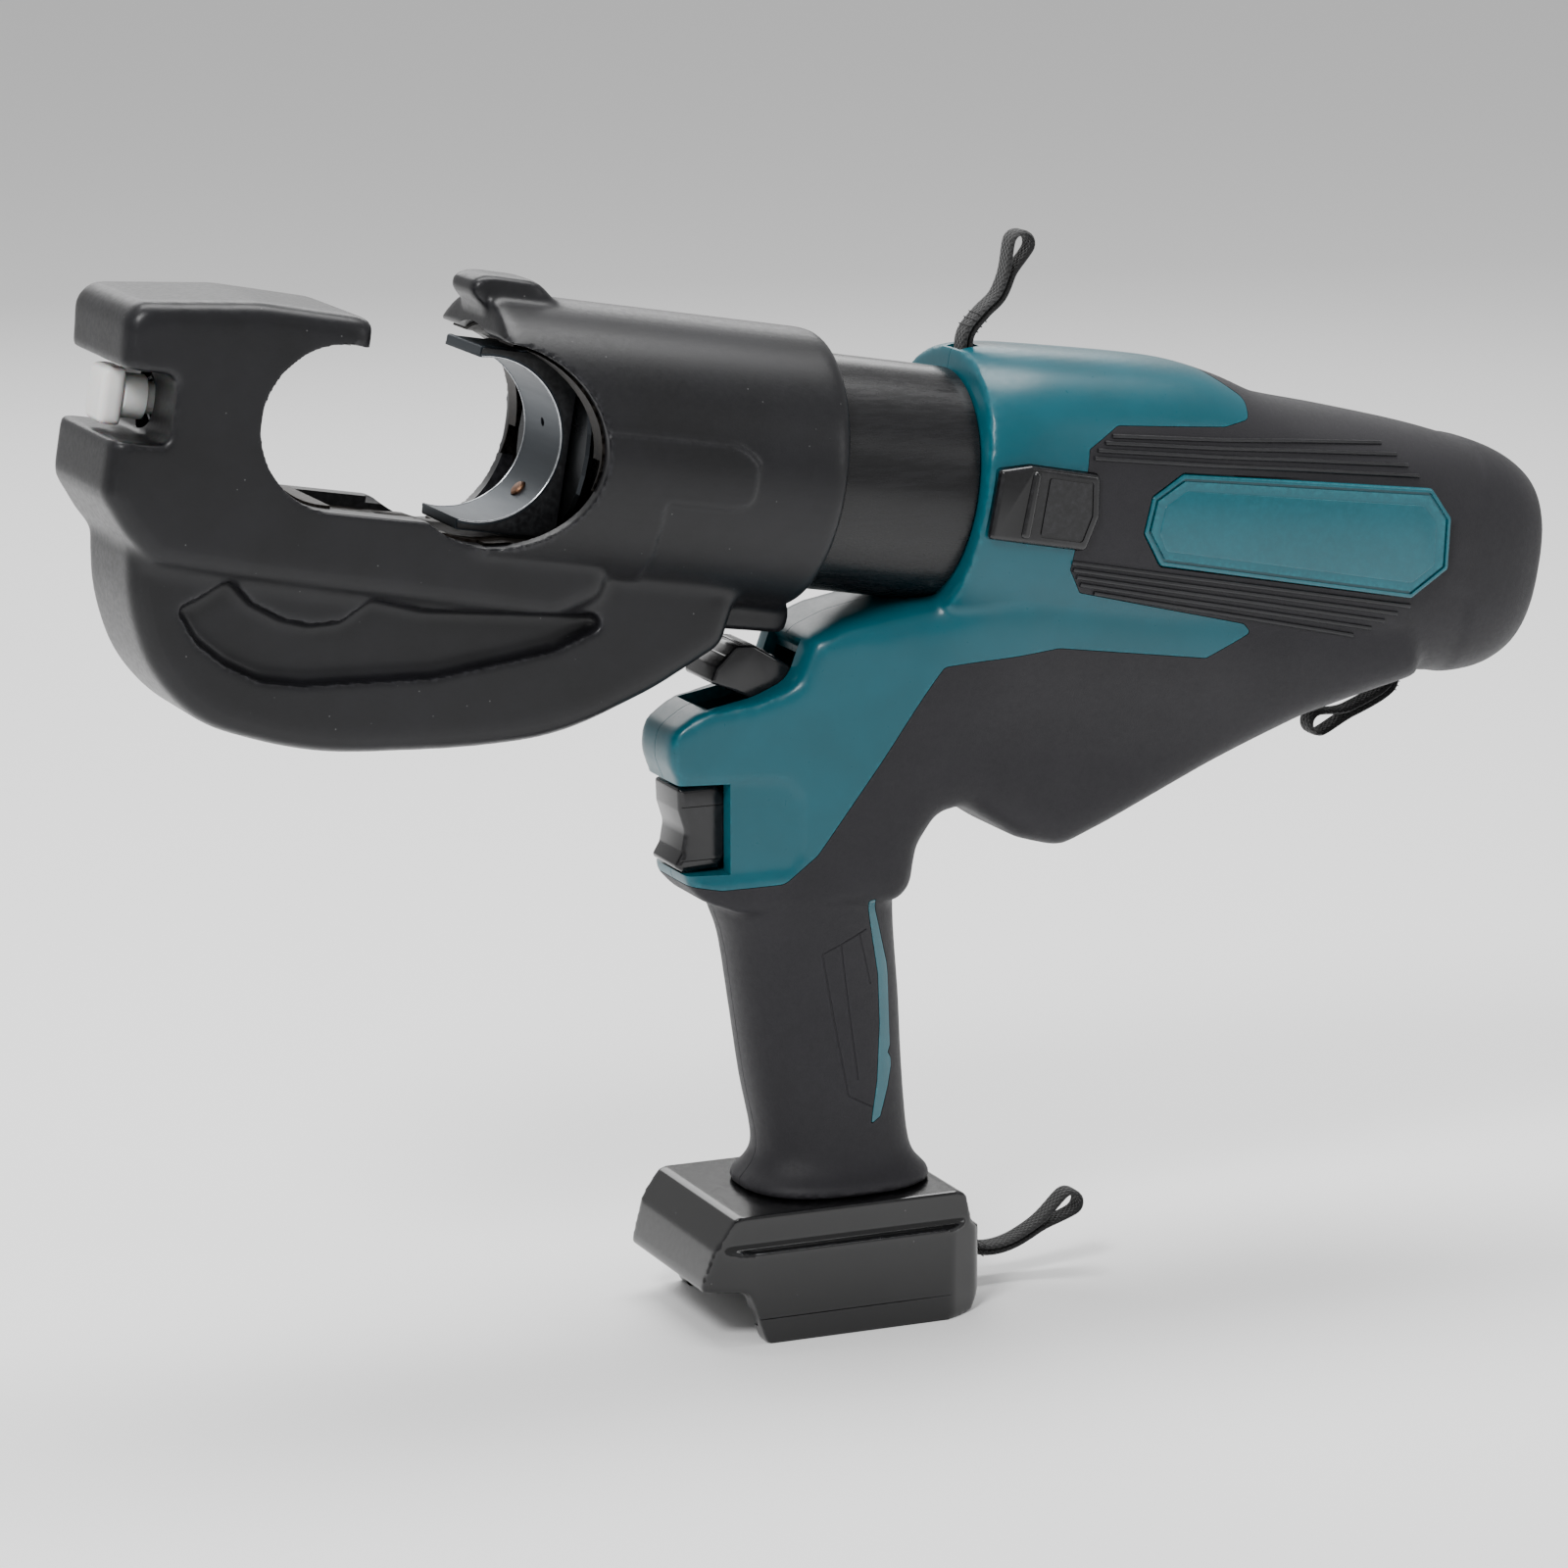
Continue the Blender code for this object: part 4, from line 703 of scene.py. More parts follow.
# === geometry node trees ======================================================================
class NodeKit:
    """Geometry Nodes trees for what repeats or follows a line."""

    @staticmethod
    def tree(name: str, sizes: Sequence[Tuple[str, str]]) -> bpy.types.GeometryNodeTree:
        """Empty tree with a geometry input, named size inputs and a geometry output."""
        made = bpy.data.node_groups.new(name, "GeometryNodeTree")
        made.interface.new_socket(name="Geometry", in_out="INPUT", socket_type="NodeSocketGeometry")
        for label, kind in sizes:
            made.interface.new_socket(name=label, in_out="INPUT", socket_type=kind)
        made.interface.new_socket(name="Geometry", in_out="OUTPUT", socket_type="NodeSocketGeometry")
        return made

    @classmethod
    def beads(cls) -> bpy.types.GeometryNodeTree:
        """Round bead along every line: ribs, grooves' cutters and piping."""
        known = bpy.data.node_groups.get("beads")
        if known:
            return known
        made = cls.tree("beads", [("Bead Radius", "NodeSocketFloat"), ("Bead Facets", "NodeSocketInt"),
                                  ("Finish", "NodeSocketMaterial")])
        given = add_node(made, "NodeGroupInput")
        lines = add_node(made, "GeometryNodeMeshToCurve", links={0: given.outputs["Geometry"]})
        ring = add_node(made, "GeometryNodeCurvePrimitiveCircle",
                        links={"Resolution": given.outputs["Bead Facets"],
                               "Radius": given.outputs["Bead Radius"]})
        swept = add_node(made, "GeometryNodeCurveToMesh", {"Fill Caps": True},
                         {"Curve": lines.outputs[0], "Profile Curve": ring.outputs[0]})
        real = add_node(made, "GeometryNodeRealizeInstances", links={0: swept.outputs[0]})
        dressed = add_node(made, "GeometryNodeSetMaterial",
                           links={"Geometry": real.outputs[0], "Material": given.outputs["Finish"]})
        add_node(made, "NodeGroupOutput", links={0: dressed.outputs[0]})
        return made

    @classmethod
    def screws(cls) -> bpy.types.GeometryNodeTree:
        """Pan-head screw with a six-sided socket at every point, heads towards +Y."""
        made = cls.tree("screws", [("Head Radius", "NodeSocketFloat"), ("Head Height", "NodeSocketFloat"),
                                   ("Shank Radius", "NodeSocketFloat"), ("Shank Length", "NodeSocketFloat"),
                                   ("Socket Radius", "NodeSocketFloat"), ("Finish", "NodeSocketMaterial")])
        given = add_node(made, "NodeGroupInput")
        head = add_node(made, "GeometryNodeMeshCylinder", {"Vertices": 32},
                        {"Radius": given.outputs["Head Radius"], "Depth": given.outputs["Head Height"]})
        socket = add_node(made, "GeometryNodeMeshCylinder", {"Vertices": 6},
                          {"Radius": given.outputs["Socket Radius"], "Depth": given.outputs["Head Height"]})
        half = add_node(made, "ShaderNodeMath", {"operation": "MULTIPLY", 1: 0.45},
                        {0: given.outputs["Head Height"]})
        lift = add_node(made, "ShaderNodeCombineXYZ", links={"Z": half.outputs[0]})
        raised = add_node(made, "GeometryNodeTransform", links={0: socket.outputs["Mesh"],
                                                                 "Translation": lift.outputs[0]})
        sunk = add_node(made, "GeometryNodeMeshBoolean", {"operation": "DIFFERENCE"},
                        {"Mesh 1": head.outputs["Mesh"], "Mesh 2": raised.outputs[0]})
        shank = add_node(made, "GeometryNodeMeshCylinder", {"Vertices": 16},
                         {"Radius": given.outputs["Shank Radius"], "Depth": given.outputs["Shank Length"]})
        drop = add_node(made, "ShaderNodeMath", {"operation": "MULTIPLY", 1: -0.5},
                        {0: given.outputs["Shank Length"]})
        down = add_node(made, "ShaderNodeCombineXYZ", links={"Z": drop.outputs[0]})
        hung = add_node(made, "GeometryNodeTransform", links={0: shank.outputs["Mesh"],
                                                               "Translation": down.outputs[0]})
        whole = add_node(made, "GeometryNodeMeshBoolean", {"operation": "UNION"})
        for part in (hung, sunk):
            made.links.new(part.outputs[0], whole.inputs["Mesh 2"])
        set_out = add_node(made, "GeometryNodeInstanceOnPoints", {"Rotation": (-math.pi / 2, 0.0, 0.0)},
                           {"Points": given.outputs["Geometry"], "Instance": whole.outputs[0]})
        real = add_node(made, "GeometryNodeRealizeInstances", links={0: set_out.outputs[0]})
        dressed = add_node(made, "GeometryNodeSetMaterial",
                           links={"Geometry": real.outputs[0], "Material": given.outputs["Finish"]})
        add_node(made, "NodeGroupOutput", links={0: dressed.outputs[0]})
        return made

    @classmethod
    def stitches(cls) -> bpy.types.GeometryNodeTree:
        """Row of thread stitches along every line."""
        known = bpy.data.node_groups.get("stitches")
        if known:
            return known
        made = cls.tree("stitches",
                        [("Stitch Pitch", "NodeSocketFloat"), ("Thread Radius", "NodeSocketFloat"),
                                     ("Finish", "NodeSocketMaterial")])
        given = add_node(made, "NodeGroupInput")
        lines = add_node(made, "GeometryNodeMeshToCurve", links={0: given.outputs["Geometry"]})
        spots = add_node(made, "GeometryNodeCurveToPoints", {"mode": "LENGTH"},
                         {"Curve": lines.outputs[0], "Length": given.outputs["Stitch Pitch"]})
        grain = add_node(made, "GeometryNodeMeshUVSphere", {"Segments": 8, "Rings": 6},
                         {"Radius": given.outputs["Thread Radius"]})
        drawn = add_node(made, "GeometryNodeTransform", {"Scale": (1.0, 1.0, 2.6)},
                         {0: grain.outputs["Mesh"]})
        set_out = add_node(made, "GeometryNodeInstanceOnPoints",
                           links={"Points": spots.outputs["Points"], "Instance": drawn.outputs[0],
                                  "Rotation": spots.outputs["Rotation"]})
        real = add_node(made, "GeometryNodeRealizeInstances", links={0: set_out.outputs[0]})
        dressed = add_node(made, "GeometryNodeSetMaterial",
                           links={"Geometry": real.outputs[0], "Material": given.outputs["Finish"]})
        add_node(made, "NodeGroupOutput", links={0: dressed.outputs[0]})
        return made

    @staticmethod
    def grown(tree: bpy.types.GeometryNodeTree, lines: Sequence[Sequence[Vector]],
              sizes: Dict[str, Any]) -> Shape:
        """Run a tree on lines or points.

        Args:
            tree: One of this class's trees.
            lines: World points of each line; a line of one point is a single spot.
            sizes: Values of the named inputs.

        Returns:
            The plain mesh that the tree makes.
        """
        bm = bmesh.new()
        for line in lines:
            verts = [bm.verts.new(point) for point in line]
            for first, second in zip(verts, verts[1:]):
                bm.edges.new((first, second))
        mesh = bpy.data.meshes.new("lines")
        bm.to_mesh(mesh)
        bm.free()

        def fit(work: bpy.types.Object) -> None:
            """Adds the tree with its sizes set by socket identifier."""
            nodes = work.modifiers.new("grown", "NODES")
            nodes.node_group = tree
            for item in tree.interface.items_tree:
                if item.in_out == "INPUT" and item.name in sizes:
                    nodes[item.identifier] = sizes[item.name]

        return Shape(mesh).worked(fit)


def beads(lines: Sequence[Sequence[Vector]], radius: float, finish: Finish, facets: int = 10) -> Shape:
    """Round beads of a radius in mm along world lines."""
    return NodeKit.grown(NodeKit.beads(), lines,
                         {"Bead Radius": radius * MM, "Bead Facets": facets, "Finish": finish.material()})


# === studio ===================================================================================
@dataclass
class Studio:
    """Camera, soft lights and a pale floor."""

    eye: Tuple[float, float, float] = (-0.750, -1.692, 0.586)
    gaze: Tuple[float, float, float] = (0.3877, 0.8960, -0.2164)
    lens: float = 132.75
    floor_half: float = 9.0

    def camera(self) -> None:
        """Long lens a little above the tool, from its left."""
        data = bpy.data.cameras.new("camera")
        data.lens = self.lens
        data.sensor_width = 36.0
        camera = bpy.data.objects.new("camera", data)
        bpy.context.scene.collection.objects.link(camera)
        camera.location = self.eye
        camera.rotation_euler = Vector(self.gaze).to_track_quat("-Z", "Y").to_euler()
        bpy.context.scene.camera = camera

    def lamp(self, name: str, spot: Tuple[float, float, float], size: Tuple[float, float],
             power: float) -> None:
        """Rectangular soft box that faces the middle of the tool.

        Args:
            name: Name of the light.
            spot: Its place in metres.
            size: Its two sides in metres.
            power: Watts.
        """
        data = bpy.data.lights.new(name, "AREA")
        data.shape = "RECTANGLE"
        data.size, data.size_y = size
        data.energy = power
        light = bpy.data.objects.new(name, data)
        bpy.context.scene.collection.objects.link(light)
        light.location = spot
        light.rotation_euler = (Vector((0.0, 0.0, 0.2)) - Vector(spot)).to_track_quat("-Z", "Y").to_euler()

    def build(self) -> None:
        """Lights, world and floor."""
        self.lamp("key_box", (-1.4, -1.3, 1.9), (0.6, 0.6), 44.0)
        self.lamp("top_box", (0.1, 0.3, 1.9), (1.6, 0.8), 44.0)
        self.lamp("fill_box", (1.6, -1.5, 0.9), (0.5, 1.2), 6.0)
        self.lamp("back_box", (0.4, 1.9, 1.2), (1.6, 0.8), 14.0)
        world = bpy.data.worlds.new("studio")
        world.use_nodes = True
        world.node_tree.nodes["Background"].inputs["Color"].default_value = (1.0, 1.0, 1.0, 1.0)
        world.node_tree.nodes["Background"].inputs["Strength"].default_value = 0.62
        bpy.context.scene.world = world
        bm = bmesh.new()
        bmesh.ops.create_grid(bm, x_segments=8, y_segments=8, size=self.floor_half)
        mesh = bpy.data.meshes.new("floor")
        bm.to_mesh(mesh)
        bm.free()
        floor = bpy.data.objects.new("floor", mesh)
        bpy.context.scene.collection.objects.link(floor)
        paint = bpy.data.materials.new("paper_white_matt")
        paint.use_nodes = True
        shader = paint.node_tree.nodes["Principled BSDF"]
        shader.inputs["Base Color"].default_value = linear("#F2F2F2")
        shader.inputs["Roughness"].default_value = 0.9
        mesh.materials.append(paint)


# === head =====================================================================================
@dataclass
class CrimpHead:
    """C-shaped steel head in its rubber cover, with the ram, its die holder and the die release button."""

    fixed_seat: Tuple[float, float] = (-180.0, 25.0)
    moving_seat: Tuple[float, float] = (-128.0, 26.0)
    cheek_half: float = 30.5
    bow_half: float = 25.0
    frame_half: float = 21.0
    bow_core_half: float = 13.0
    cover_wall: float = 4.0
    cover_ring: Tuple[float, float] = (-131.0, -13.0)
    cover_r: float = 45.5
    frame_r: float = 41.2
    frame_ring: Tuple[float, float] = (-127.0, -16.0)
    barrel_r: float = 36.0
    front_bore: float = 34.2
    floor_w: float = -29.8
    cheek_top_w: float = -25.0
    rim_r: float = 31.0
    tip_a: float = -173.0
    notch_root: float = -234.0
    notch_w: Tuple[float, float] = (-11.0, 10.5)
    collar_front: float = 35.0
    block: Tuple[Row, ...] = (
        (-173, 20, 1), (-173, 33.5, 2), (-178, 34.8, 2), (-210, 35.5, 8), (-248, 31.5, 4), (-252.5, 26, 4),
        (-251, 9, 3), (-252, -12, 3), (-252, -29, 4), (-243, -40, 6), (-234, -48, 6), (-200, -50, 8),
        (-100, -53, 6), (-84, -44, 6), (-90, 0, 2))
    bow: Tuple[Row, ...] = (
        (-205, -20), (-238, -24), (-240, -44, 40), (-237, -62, 60), (-228, -82, 60), (-210, -97, 80),
        (-172, -103.5, 200), (-122, -97.5, 300), (-90, -91, 120), (-60, -73, 80), (-39, -57, 6), (-36, -40),
        (-60, -30))
    tab: Tuple[Row, ...] = ((-46, -40), (-41, -53.5, 1.5), (-12, -53, 1.5), (-10.8, -46, 1.5), (-16, -38))
    hump: Tuple[Row, ...] = ((-136.8, 44, 1), (-131, 40), (-109, 40), (-109, 46.5, 2), (-115, 50.8, 3),
                             (-132, 51, 3), (-136.8, 48.5, 2))
    tongue: Tuple[Row, ...] = (
        (-128, -44), (-73, -42, 2), (-74, -36, 4), (-75, -21, 4), (-76, -10, 3), (-53, -10, 6),
        (-46.5, -8, 5), (-46.5, 6, 6), (-55, 9.5, 6), (-106, 9, 1), (-128, 9))
    crescent: Tuple[Row, ...] = (
        (-223, -61, 3), (-215, -71, 5), (-205, -77, 6), (-193, -81, 8), (-178, -81, 8), (-136, -75, 8),
        (-113, -68, 8), (-97, -63, 6), (-82, -54, 3), (-85, -50, 3), (-142, -54, 3), (-160, -52, 2),
        (-169, -60, 5), (-179, -62, 6), (-188, -61, 6), (-199, -57, 6), (-207, -50, 4), (-216, -57, 3))

    def throat(self, grow: float, steps: int = 40) -> Shape:
        """Opening between the two die seats, as one cutter."""
        centre, radius = self.fixed_seat
        radius += grow
        rim_centre = self.moving_seat[0] - 1.0
        rim_radius = self.rim_r + grow
        floor = self.cheek_top_w - grow
        start = math.asin(min(-floor / rim_radius, 1.0))
        points: Outline = [(self.hump[0][0] - 0.8, 80.0), (self.tip_a - 1.0 + grow, 80.0)]
        lip = math.acos((self.tip_a - 1.0 + grow - centre) / radius)
        for i in range(steps + 1):
            angle = lip + (1.5 * math.pi - lip) * i / steps
            points.append((centre + radius * math.cos(angle), radius * math.sin(angle)))
        top = math.radians(88.0)
        for i in range(steps + 1):
            angle = -math.pi + start + (math.pi - start + top) * i / steps
            points.append((rim_centre + rim_radius * math.cos(angle), rim_radius * math.sin(angle)))
        points.append((self.hump[0][0] - 0.8, rim_radius + 2.0))
        return plate(points, -60.0, 60.0, steps=0)

    def core(self, amount: float, half: float, bow_half: float) -> Shape:
        """Steel-shaped solid: the head's outline moved inwards."""
        block = plate(inset(self.block, amount), -half, half, rim=1.5, steps=2)
        return block.plus(plate(inset(self.bow, amount), -bow_half, bow_half, rim=1.5, steps=2))

    def cover(self) -> None:
        """Rubber cover: one thick soft-edged skin, hollowed for the steel."""
        low, high = self.cover_ring
        r = self.cover_r
        ring = turned([(r - 6, high), (r - 1.2, high - 1.2), (r, high - 4), (r, low + 1.5), (r - 1.5, low)])
        skin = plate(self.block, -self.cheek_half, self.cheek_half, rim=5.5)
        skin.with_shells(plate(self.bow, -self.bow_half, self.bow_half, rim=6.0), ring,
                         plate(self.tab, -10, 10, rim=1.5), plate(self.hump, -11, 11, rim=1.5))
        skin.softened(1.5, 4)
        notch = [(-270, -11), (self.notch_root, -11, 3.5), (self.notch_root, 10.5, 3.5), (-270, 10.5)]
        skin.minus(plate(notch, -60, 60))
        skin.softened(1.3, 3)
        cuts = []
        for side, _ in each_side():
            cuts.append(plate(self.crescent, *span(side, self.bow_half - 5.6, self.bow_half + 20), rim=3.4))
        skin.minus(*cuts)
        skin.softened(0.95, 3)
        flap = turned([(r + 0.9, -40.0), (r + 0.9, low)]).within(plate(self.tongue, -60, 60))
        skin.plus(flap)
        skin.minus(self.throat(0.9))
        skin.softened(0.95, 1)
        room = self.core(self.cover_wall, self.frame_half + GAP, self.bow_core_half + GAP)
        room.minus(box((-270, self.notch_root + self.cover_wall), ACROSS,
                       (self.notch_w[0] - self.cover_wall, self.notch_w[1] + self.cover_wall)))
        skin.minus(room, rod(self.frame_r + GAP, self.frame_ring[0] - GAP, self.frame_ring[1] + GAP),
                   rod(self.barrel_r + GAP, self.frame_ring[1] - 5, 20),
                   rod(self.front_bore + 1, -150, self.frame_ring[0] + 5),
                   box((self.fixed_seat[0] + 4, -95), (-self.frame_half - GAP, self.frame_half + GAP),
                       (self.floor_w + 0.4, 0)),
                   rod(9.6, -260, -229))
        finish_piece(skin.placed(RAM), "rubber_cover", COVER_RUBBER, "head", ["jaw_cover"])

    def steel(self) -> None:
        """Forged C-frame inside the cover; it shows in the channel under the throat."""
        wall = self.cover_wall + GAP
        body = self.core(wall, self.frame_half, self.bow_core_half)
        body.plus(rod(self.frame_r, *self.frame_ring))
        body.minus(box((-270, self.notch_root + wall), ACROSS,
                       (self.notch_w[0] - wall, self.notch_w[1] + wall)),
                   rod(self.front_bore, -150, -85), rod(self.barrel_r + GAP, -95.3, 80),
                   box((self.fixed_seat[0] + 3, -95), (-40, 40), (self.floor_w, 0)), self.throat(0.0),
                   rod(5.3, -260, -200), rod(8.4, -260, -222))
        finish_piece(body.placed(RAM), "forged_frame", JAW_STEEL, "head", ["jaw_frame"])

    def sleeve(self) -> None:
        """Extruded rubber sleeve over the cylinder, with softened ends."""
        outer = self.barrel_r + GAP + 2.0
        inner = self.barrel_r + GAP
        low = self.cover_ring[1] + GAP
        high = self.collar_front - GAP
        tube = turned([(inner, low), (outer - 0.6, low), (outer, low + 0.6), (outer, high - 0.6),
                       (outer - 0.6, high), (inner, high)], segments=128, bored=True)
        finish_piece(tube.placed(RAM), "cylinder_cover", SLEEVE_RUBBER, "head", ["cylinder_sleeve"])

    def holder(self) -> None:
        """Die holder on the ram: a machined half-round seat with bright rims and end stops."""
        seat_a, seat_r = self.moving_seat
        body = plate([(-133, -29, 1), (-99, -29, 3), (-99, 29, 3), (-133, 29, 1)], -16, 16, rim=0.5, steps=4)
        body.minus(plate(disc(seat_a, seat_r), -30, 30, steps=0))
        groove = disc(seat_a, seat_r + 0.9)
        cheeks = []
        for side, _ in each_side():
            flank = plate([(-134, -30), (-98, -30), (-98, 30), (-134, 30)], *span(side, 15.2, 30), steps=0)
            body.minus(flank.minus(plate(groove, -40, 40, steps=0)))
            cheek = plate([(-132.6, -28.6, 1), (-99.3, -28.6, 3), (-99.3, 28.6, 3), (-132.6, 28.6, 1)],
                          *span(side, 15.3, 15.9), rim=0.2)
            cheeks.append(cheek.minus(plate(inset(groove, -0.05), -40, 40, steps=0)))
            body.minus(box((-131.5, -120), span(side, 11.5, 30), (27.4, 40)))
        rims = []
        for side, _ in each_side():
            arc = [math.radians(-100 + 200 * i / 72) for i in range(73)]
            rims.append([RAM @ (Vector((seat_a + (seat_r + 0.2) * math.cos(t), side * 15.75,
                                        (seat_r + 0.2) * math.sin(t))) * MM) for t in arc])
        finish_piece(beads(rims, 0.42, RIM_STEEL, facets=8), "seat_rims", RIM_STEEL, "ram", sharp=50)
        angle = math.radians(38.0)
        pin = rod(3.0, -6, 8, 32)
        place = (Matrix.Translation(((seat_a + seat_r * math.cos(angle)) * MM, 0,
                                     -seat_r * math.sin(angle) * MM))
                 @ Matrix.Rotation(angle, 4, "Y"))
        body.minus(pin.placed(place), rod(1.4, -4, 6, 24).placed(
            Matrix.Translation(((seat_a + seat_r) * MM, 0, 6 * MM))))
        finish_piece(body.placed(RAM), "moving_die_holder", HOLDER_STEEL, "ram", ["ram_die_holder"], sharp=28)
        flanks = cheeks[0].with_shells(cheeks[1])
        finish_piece(flanks.placed(RAM), "die_holder_flanks", FLANK_STEEL, "ram", sharp=28)
        dome = turned([(2.7, 4.5), (2.7, -0.6), (2.2, -1.1), (0.8, -1.3)], 32)
        finish_piece(dome.placed(RAM @ place), "detent_dome", DETENT_BRONZE, "detent", ["die_detent_pin"])

    def button(self) -> None:
        """Milky release button: a pillowed cap on a round stem."""
        cap = plate([(-250.6, -9, 3.2), (-243, -9, 1.4), (-243, 9, 1.4), (-250.6, 9, 3.2)], -8, 8, rim=2.4,
                    steps=6)
        cap.softened(0.5, 6)
        finish_piece(cap.placed(RAM), "release_button_cap", BUTTON_ACETAL, "button", ["die_release_button"])
        stem = turned([(4.5, -211), (5, -211.5), (5, -235), (6.6, -235), (7, -235.4), (7, -242.3),
                       (6.6, -242.7)])
        finish_piece(stem.placed(RAM), "release_button_stem", BUTTON_ACETAL, "button", ["button_stem"])

    def build(self) -> None:
        """Every piece of the head."""
        self.cover()
        self.steel()
        self.sleeve()
        self.holder()
        self.button()
        dress(RAM_STEEL, "ram")
        dress(JAW_STEEL, "cylinder_barrel")
        dress(SEAL_RUBBER, "piston_seal")
        dress(SPRING_STEEL, "ram_return_spring", "button_spring")


# === tool body ================================================================================
@dataclass
class ToolBody:
    """Two teal shell halves with their charcoal over-mould, badges, pads, accents, ribs and screws."""

    collar_front: float = 35.0
    skin: float = 1.8
    wall: float = 4.3
    spine_half: float = 26.0
    flare: float = 11.5
    stations: Tuple[Row, ...] = (
        (35, 43, 45, -44, 2.3), (45, 44.3, 47.4, -45, 2.4), (63, 44.6, 48.6, -46, 2.6),
        (108, 44.4, 49.8, -45, 2.8),
        (127, 43.6, 47.6, -44, 2.8), (147, 43, 42.6, -43.5, 2.8), (176, 42.4, 40.8, -44, 2.8),
        (205, 41, 38.6, -44.5, 2.8), (222, 38.6, 36.4, -44.4, 2.7), (236, 35.4, 33.8, -42.4, 2.7),
        (246, 31.4, 30, -38.6, 2.6), (253, 26, 24.4, -32, 2.5), (257.2, 15, 13, -19, 2.4))
    grip: Tuple[Row, ...] = (
        (42.6, -1.6, 33, 27.6), (45.6, -1.6, 32.4, 26.8), (50, -1.7, 28.4, 22), (58, -1.8, 26.2, 19.2),
        (80, -5, 27.4, 19), (105, -7.6, 28.6, 19.4), (128, -10.4, 29.4, 20.6), (142, -12.6, 31.4, 22),
        (160, -10, 32, 22.4))
    spine: Tuple[Row, ...] = (
        (-60, 182.4, 1), (-58, 150, 1.5), (-52, 143.8, 3), (-41, 139.5, 4), (14, 139), (19, 144, 3),
        (21, 157, 6),
        (28, 167, 6), (38, 169, 6), (58, 156, 6), (73, 151.8, 10), (91, 159, 6), (126, 174.6, 10),
        (160, 189.4, 10),
        (181, 195.6, 10), (202, 201), (202, 225), (60, 262), (31, 240, 3), (10, 237, 3), (-4, 234.4, 4),
        (-17, 229, 4), (-22, 215, 5), (-34, 210, 4), (-53, 206.6, 6), (-62.6, 200, 5), (-63.8, 191, 3))
    soft: Tuple[Row, ...] = (
        (300, 70), (116, 70), (120.5, 48, 2), (130, 42, 3), (129, 36, 3), (119, 33, 2), (79, 29.5, 3),
        (69, 21, 1),
        (69, -18.5, 1), (75, -26, 2), (138.5, -31, 2), (141.5, -33.5, 2), (127, -43.5, 2), (73, -45, 8),
        (50, -52, 4), (37.5, -56, 3), (5, -122, 6), (-4, -132.5, 6), (-24, -137, 4), (-60, -137), (-60, -300),
        (300, -300))
    hood: Tuple[Row, ...] = (
        (-66, -13.6), (-50, -16.6), (-36, -19.6), (-14, -23.4), (6, -26), (230, -26), (230, 26), (6, 26),
        (-14, 23.4), (-36, 19.6), (-50, 16.6), (-66, 13.6))
    pad: Tuple[Row, ...] = ((37, -11, 1.5), (72, -11.5, 2), (75, 0, 2), (73, 13.5, 2), (48, 14, 2),
                            (37.5, 11.5, 1.5))
    badge: Tuple[Row, ...] = ((93, -4, 1.5), (101, -14, 2), (196, -16, 2), (208, -5, 2), (206, 12, 2),
                              (197, 21, 2), (104, 16.5, 2), (94, 8, 1.5))
    accent: Tuple[Row, ...] = (
        (3, 141, 1), (5, 131, 3), (8.2, 115, 4), (9, 98, 3), (8, 79, 3), (5.6, 64.5, 0.5), (9, 66.5, 1),
        (12.2, 76, 3),
        (14.2, 84.5, 1), (12.4, 87.5, 0.5), (14.4, 92, 0.5), (14.4, 99, 3), (12, 118, 5), (8, 132, 4),
        (5, 141.5, 1))
    tail_band: Tuple[Row, ...] = ((209, -8, 2), (222, -14, 3), (231, -60), (257, -60), (257, 60), (231, 60),
                                  (222, 17, 3), (209, 11, 2))
    upper_ribs: Tuple[Tuple[Row, Row], ...] = (((77, 26), (182, 33)), ((74.5, 23.6), (187, 30)),
                                               ((72, 21), (191, 27)), ((71, 18.4), (195, 24)))
    lower_ribs: Tuple[Tuple[Row, Row], ...] = (((69, -16), (198, -19)), ((70, -18.3), (194, -22)),
                                               ((72, -20.6), (190, -25)), ((74, -23), (186, -28)),
                                               ((80, -25.4), (180, -31)))
    screws: Tuple[Row, ...] = ((48, -40, 24), (122, -36, 24), (214, -30, 24))
    surface: Skin = field(init=False, repr=False)

    def section(self, half: float, low: float, high: float, power: float,
                count: int) -> List[Tuple[float, float]]:
        """Superellipse section as (y, w) points."""
        middle = (low + high) / 2
        rise = (high - low) / 2
        points = []
        for i in range(count):
            angle = math.tau * (i + 0.5) / count
            c, s = math.cos(angle), math.sin(angle)
            points.append((half * math.copysign(abs(c) ** (2 / power), c),
                           middle + rise * math.copysign(abs(s) ** (2 / power), s)))
        return points

    def barrel(self, amount: float, count: int, points: int) -> Shape:
        """Motor and pump barrel moved inwards by amount."""
        rings = []
        for k in range(count):
            t = k / (count - 1)
            a, half, high, low, power = (smooth_value(self.stations, t, c) for c in range(5))
            a += amount if k == 0 else (-amount * t ** 4)
            half = max(half - amount, 3.0)
            middle, rise = (high + low) / 2, max((high - low) / 2 - amount, 3.0)
            outline = self.section(half, middle - rise, middle + rise, power, points)
            rings.append([(a, y, w) for y, w in outline])
        return Shape.loft(rings).placed(RAM)

    def handle(self, amount: float, points: int, fine: int = 1) -> Shape:
        """Grip moved inwards by amount."""
        rings = []
        count = (len(self.grip) - 1) * fine + 1
        for k in range(count):
            z, x, depth, half = (smooth_value(self.grip, k / (count - 1), c) for c in range(4))
            z = max(z, self.grip[0][0] + amount + 0.5 * k / fine)
            outline = self.section(half - amount, -depth + amount, depth - amount, 2.5, points)
            rings.append([(x + u, v, z) for v, u in outline])
        return Shape.loft(rings)

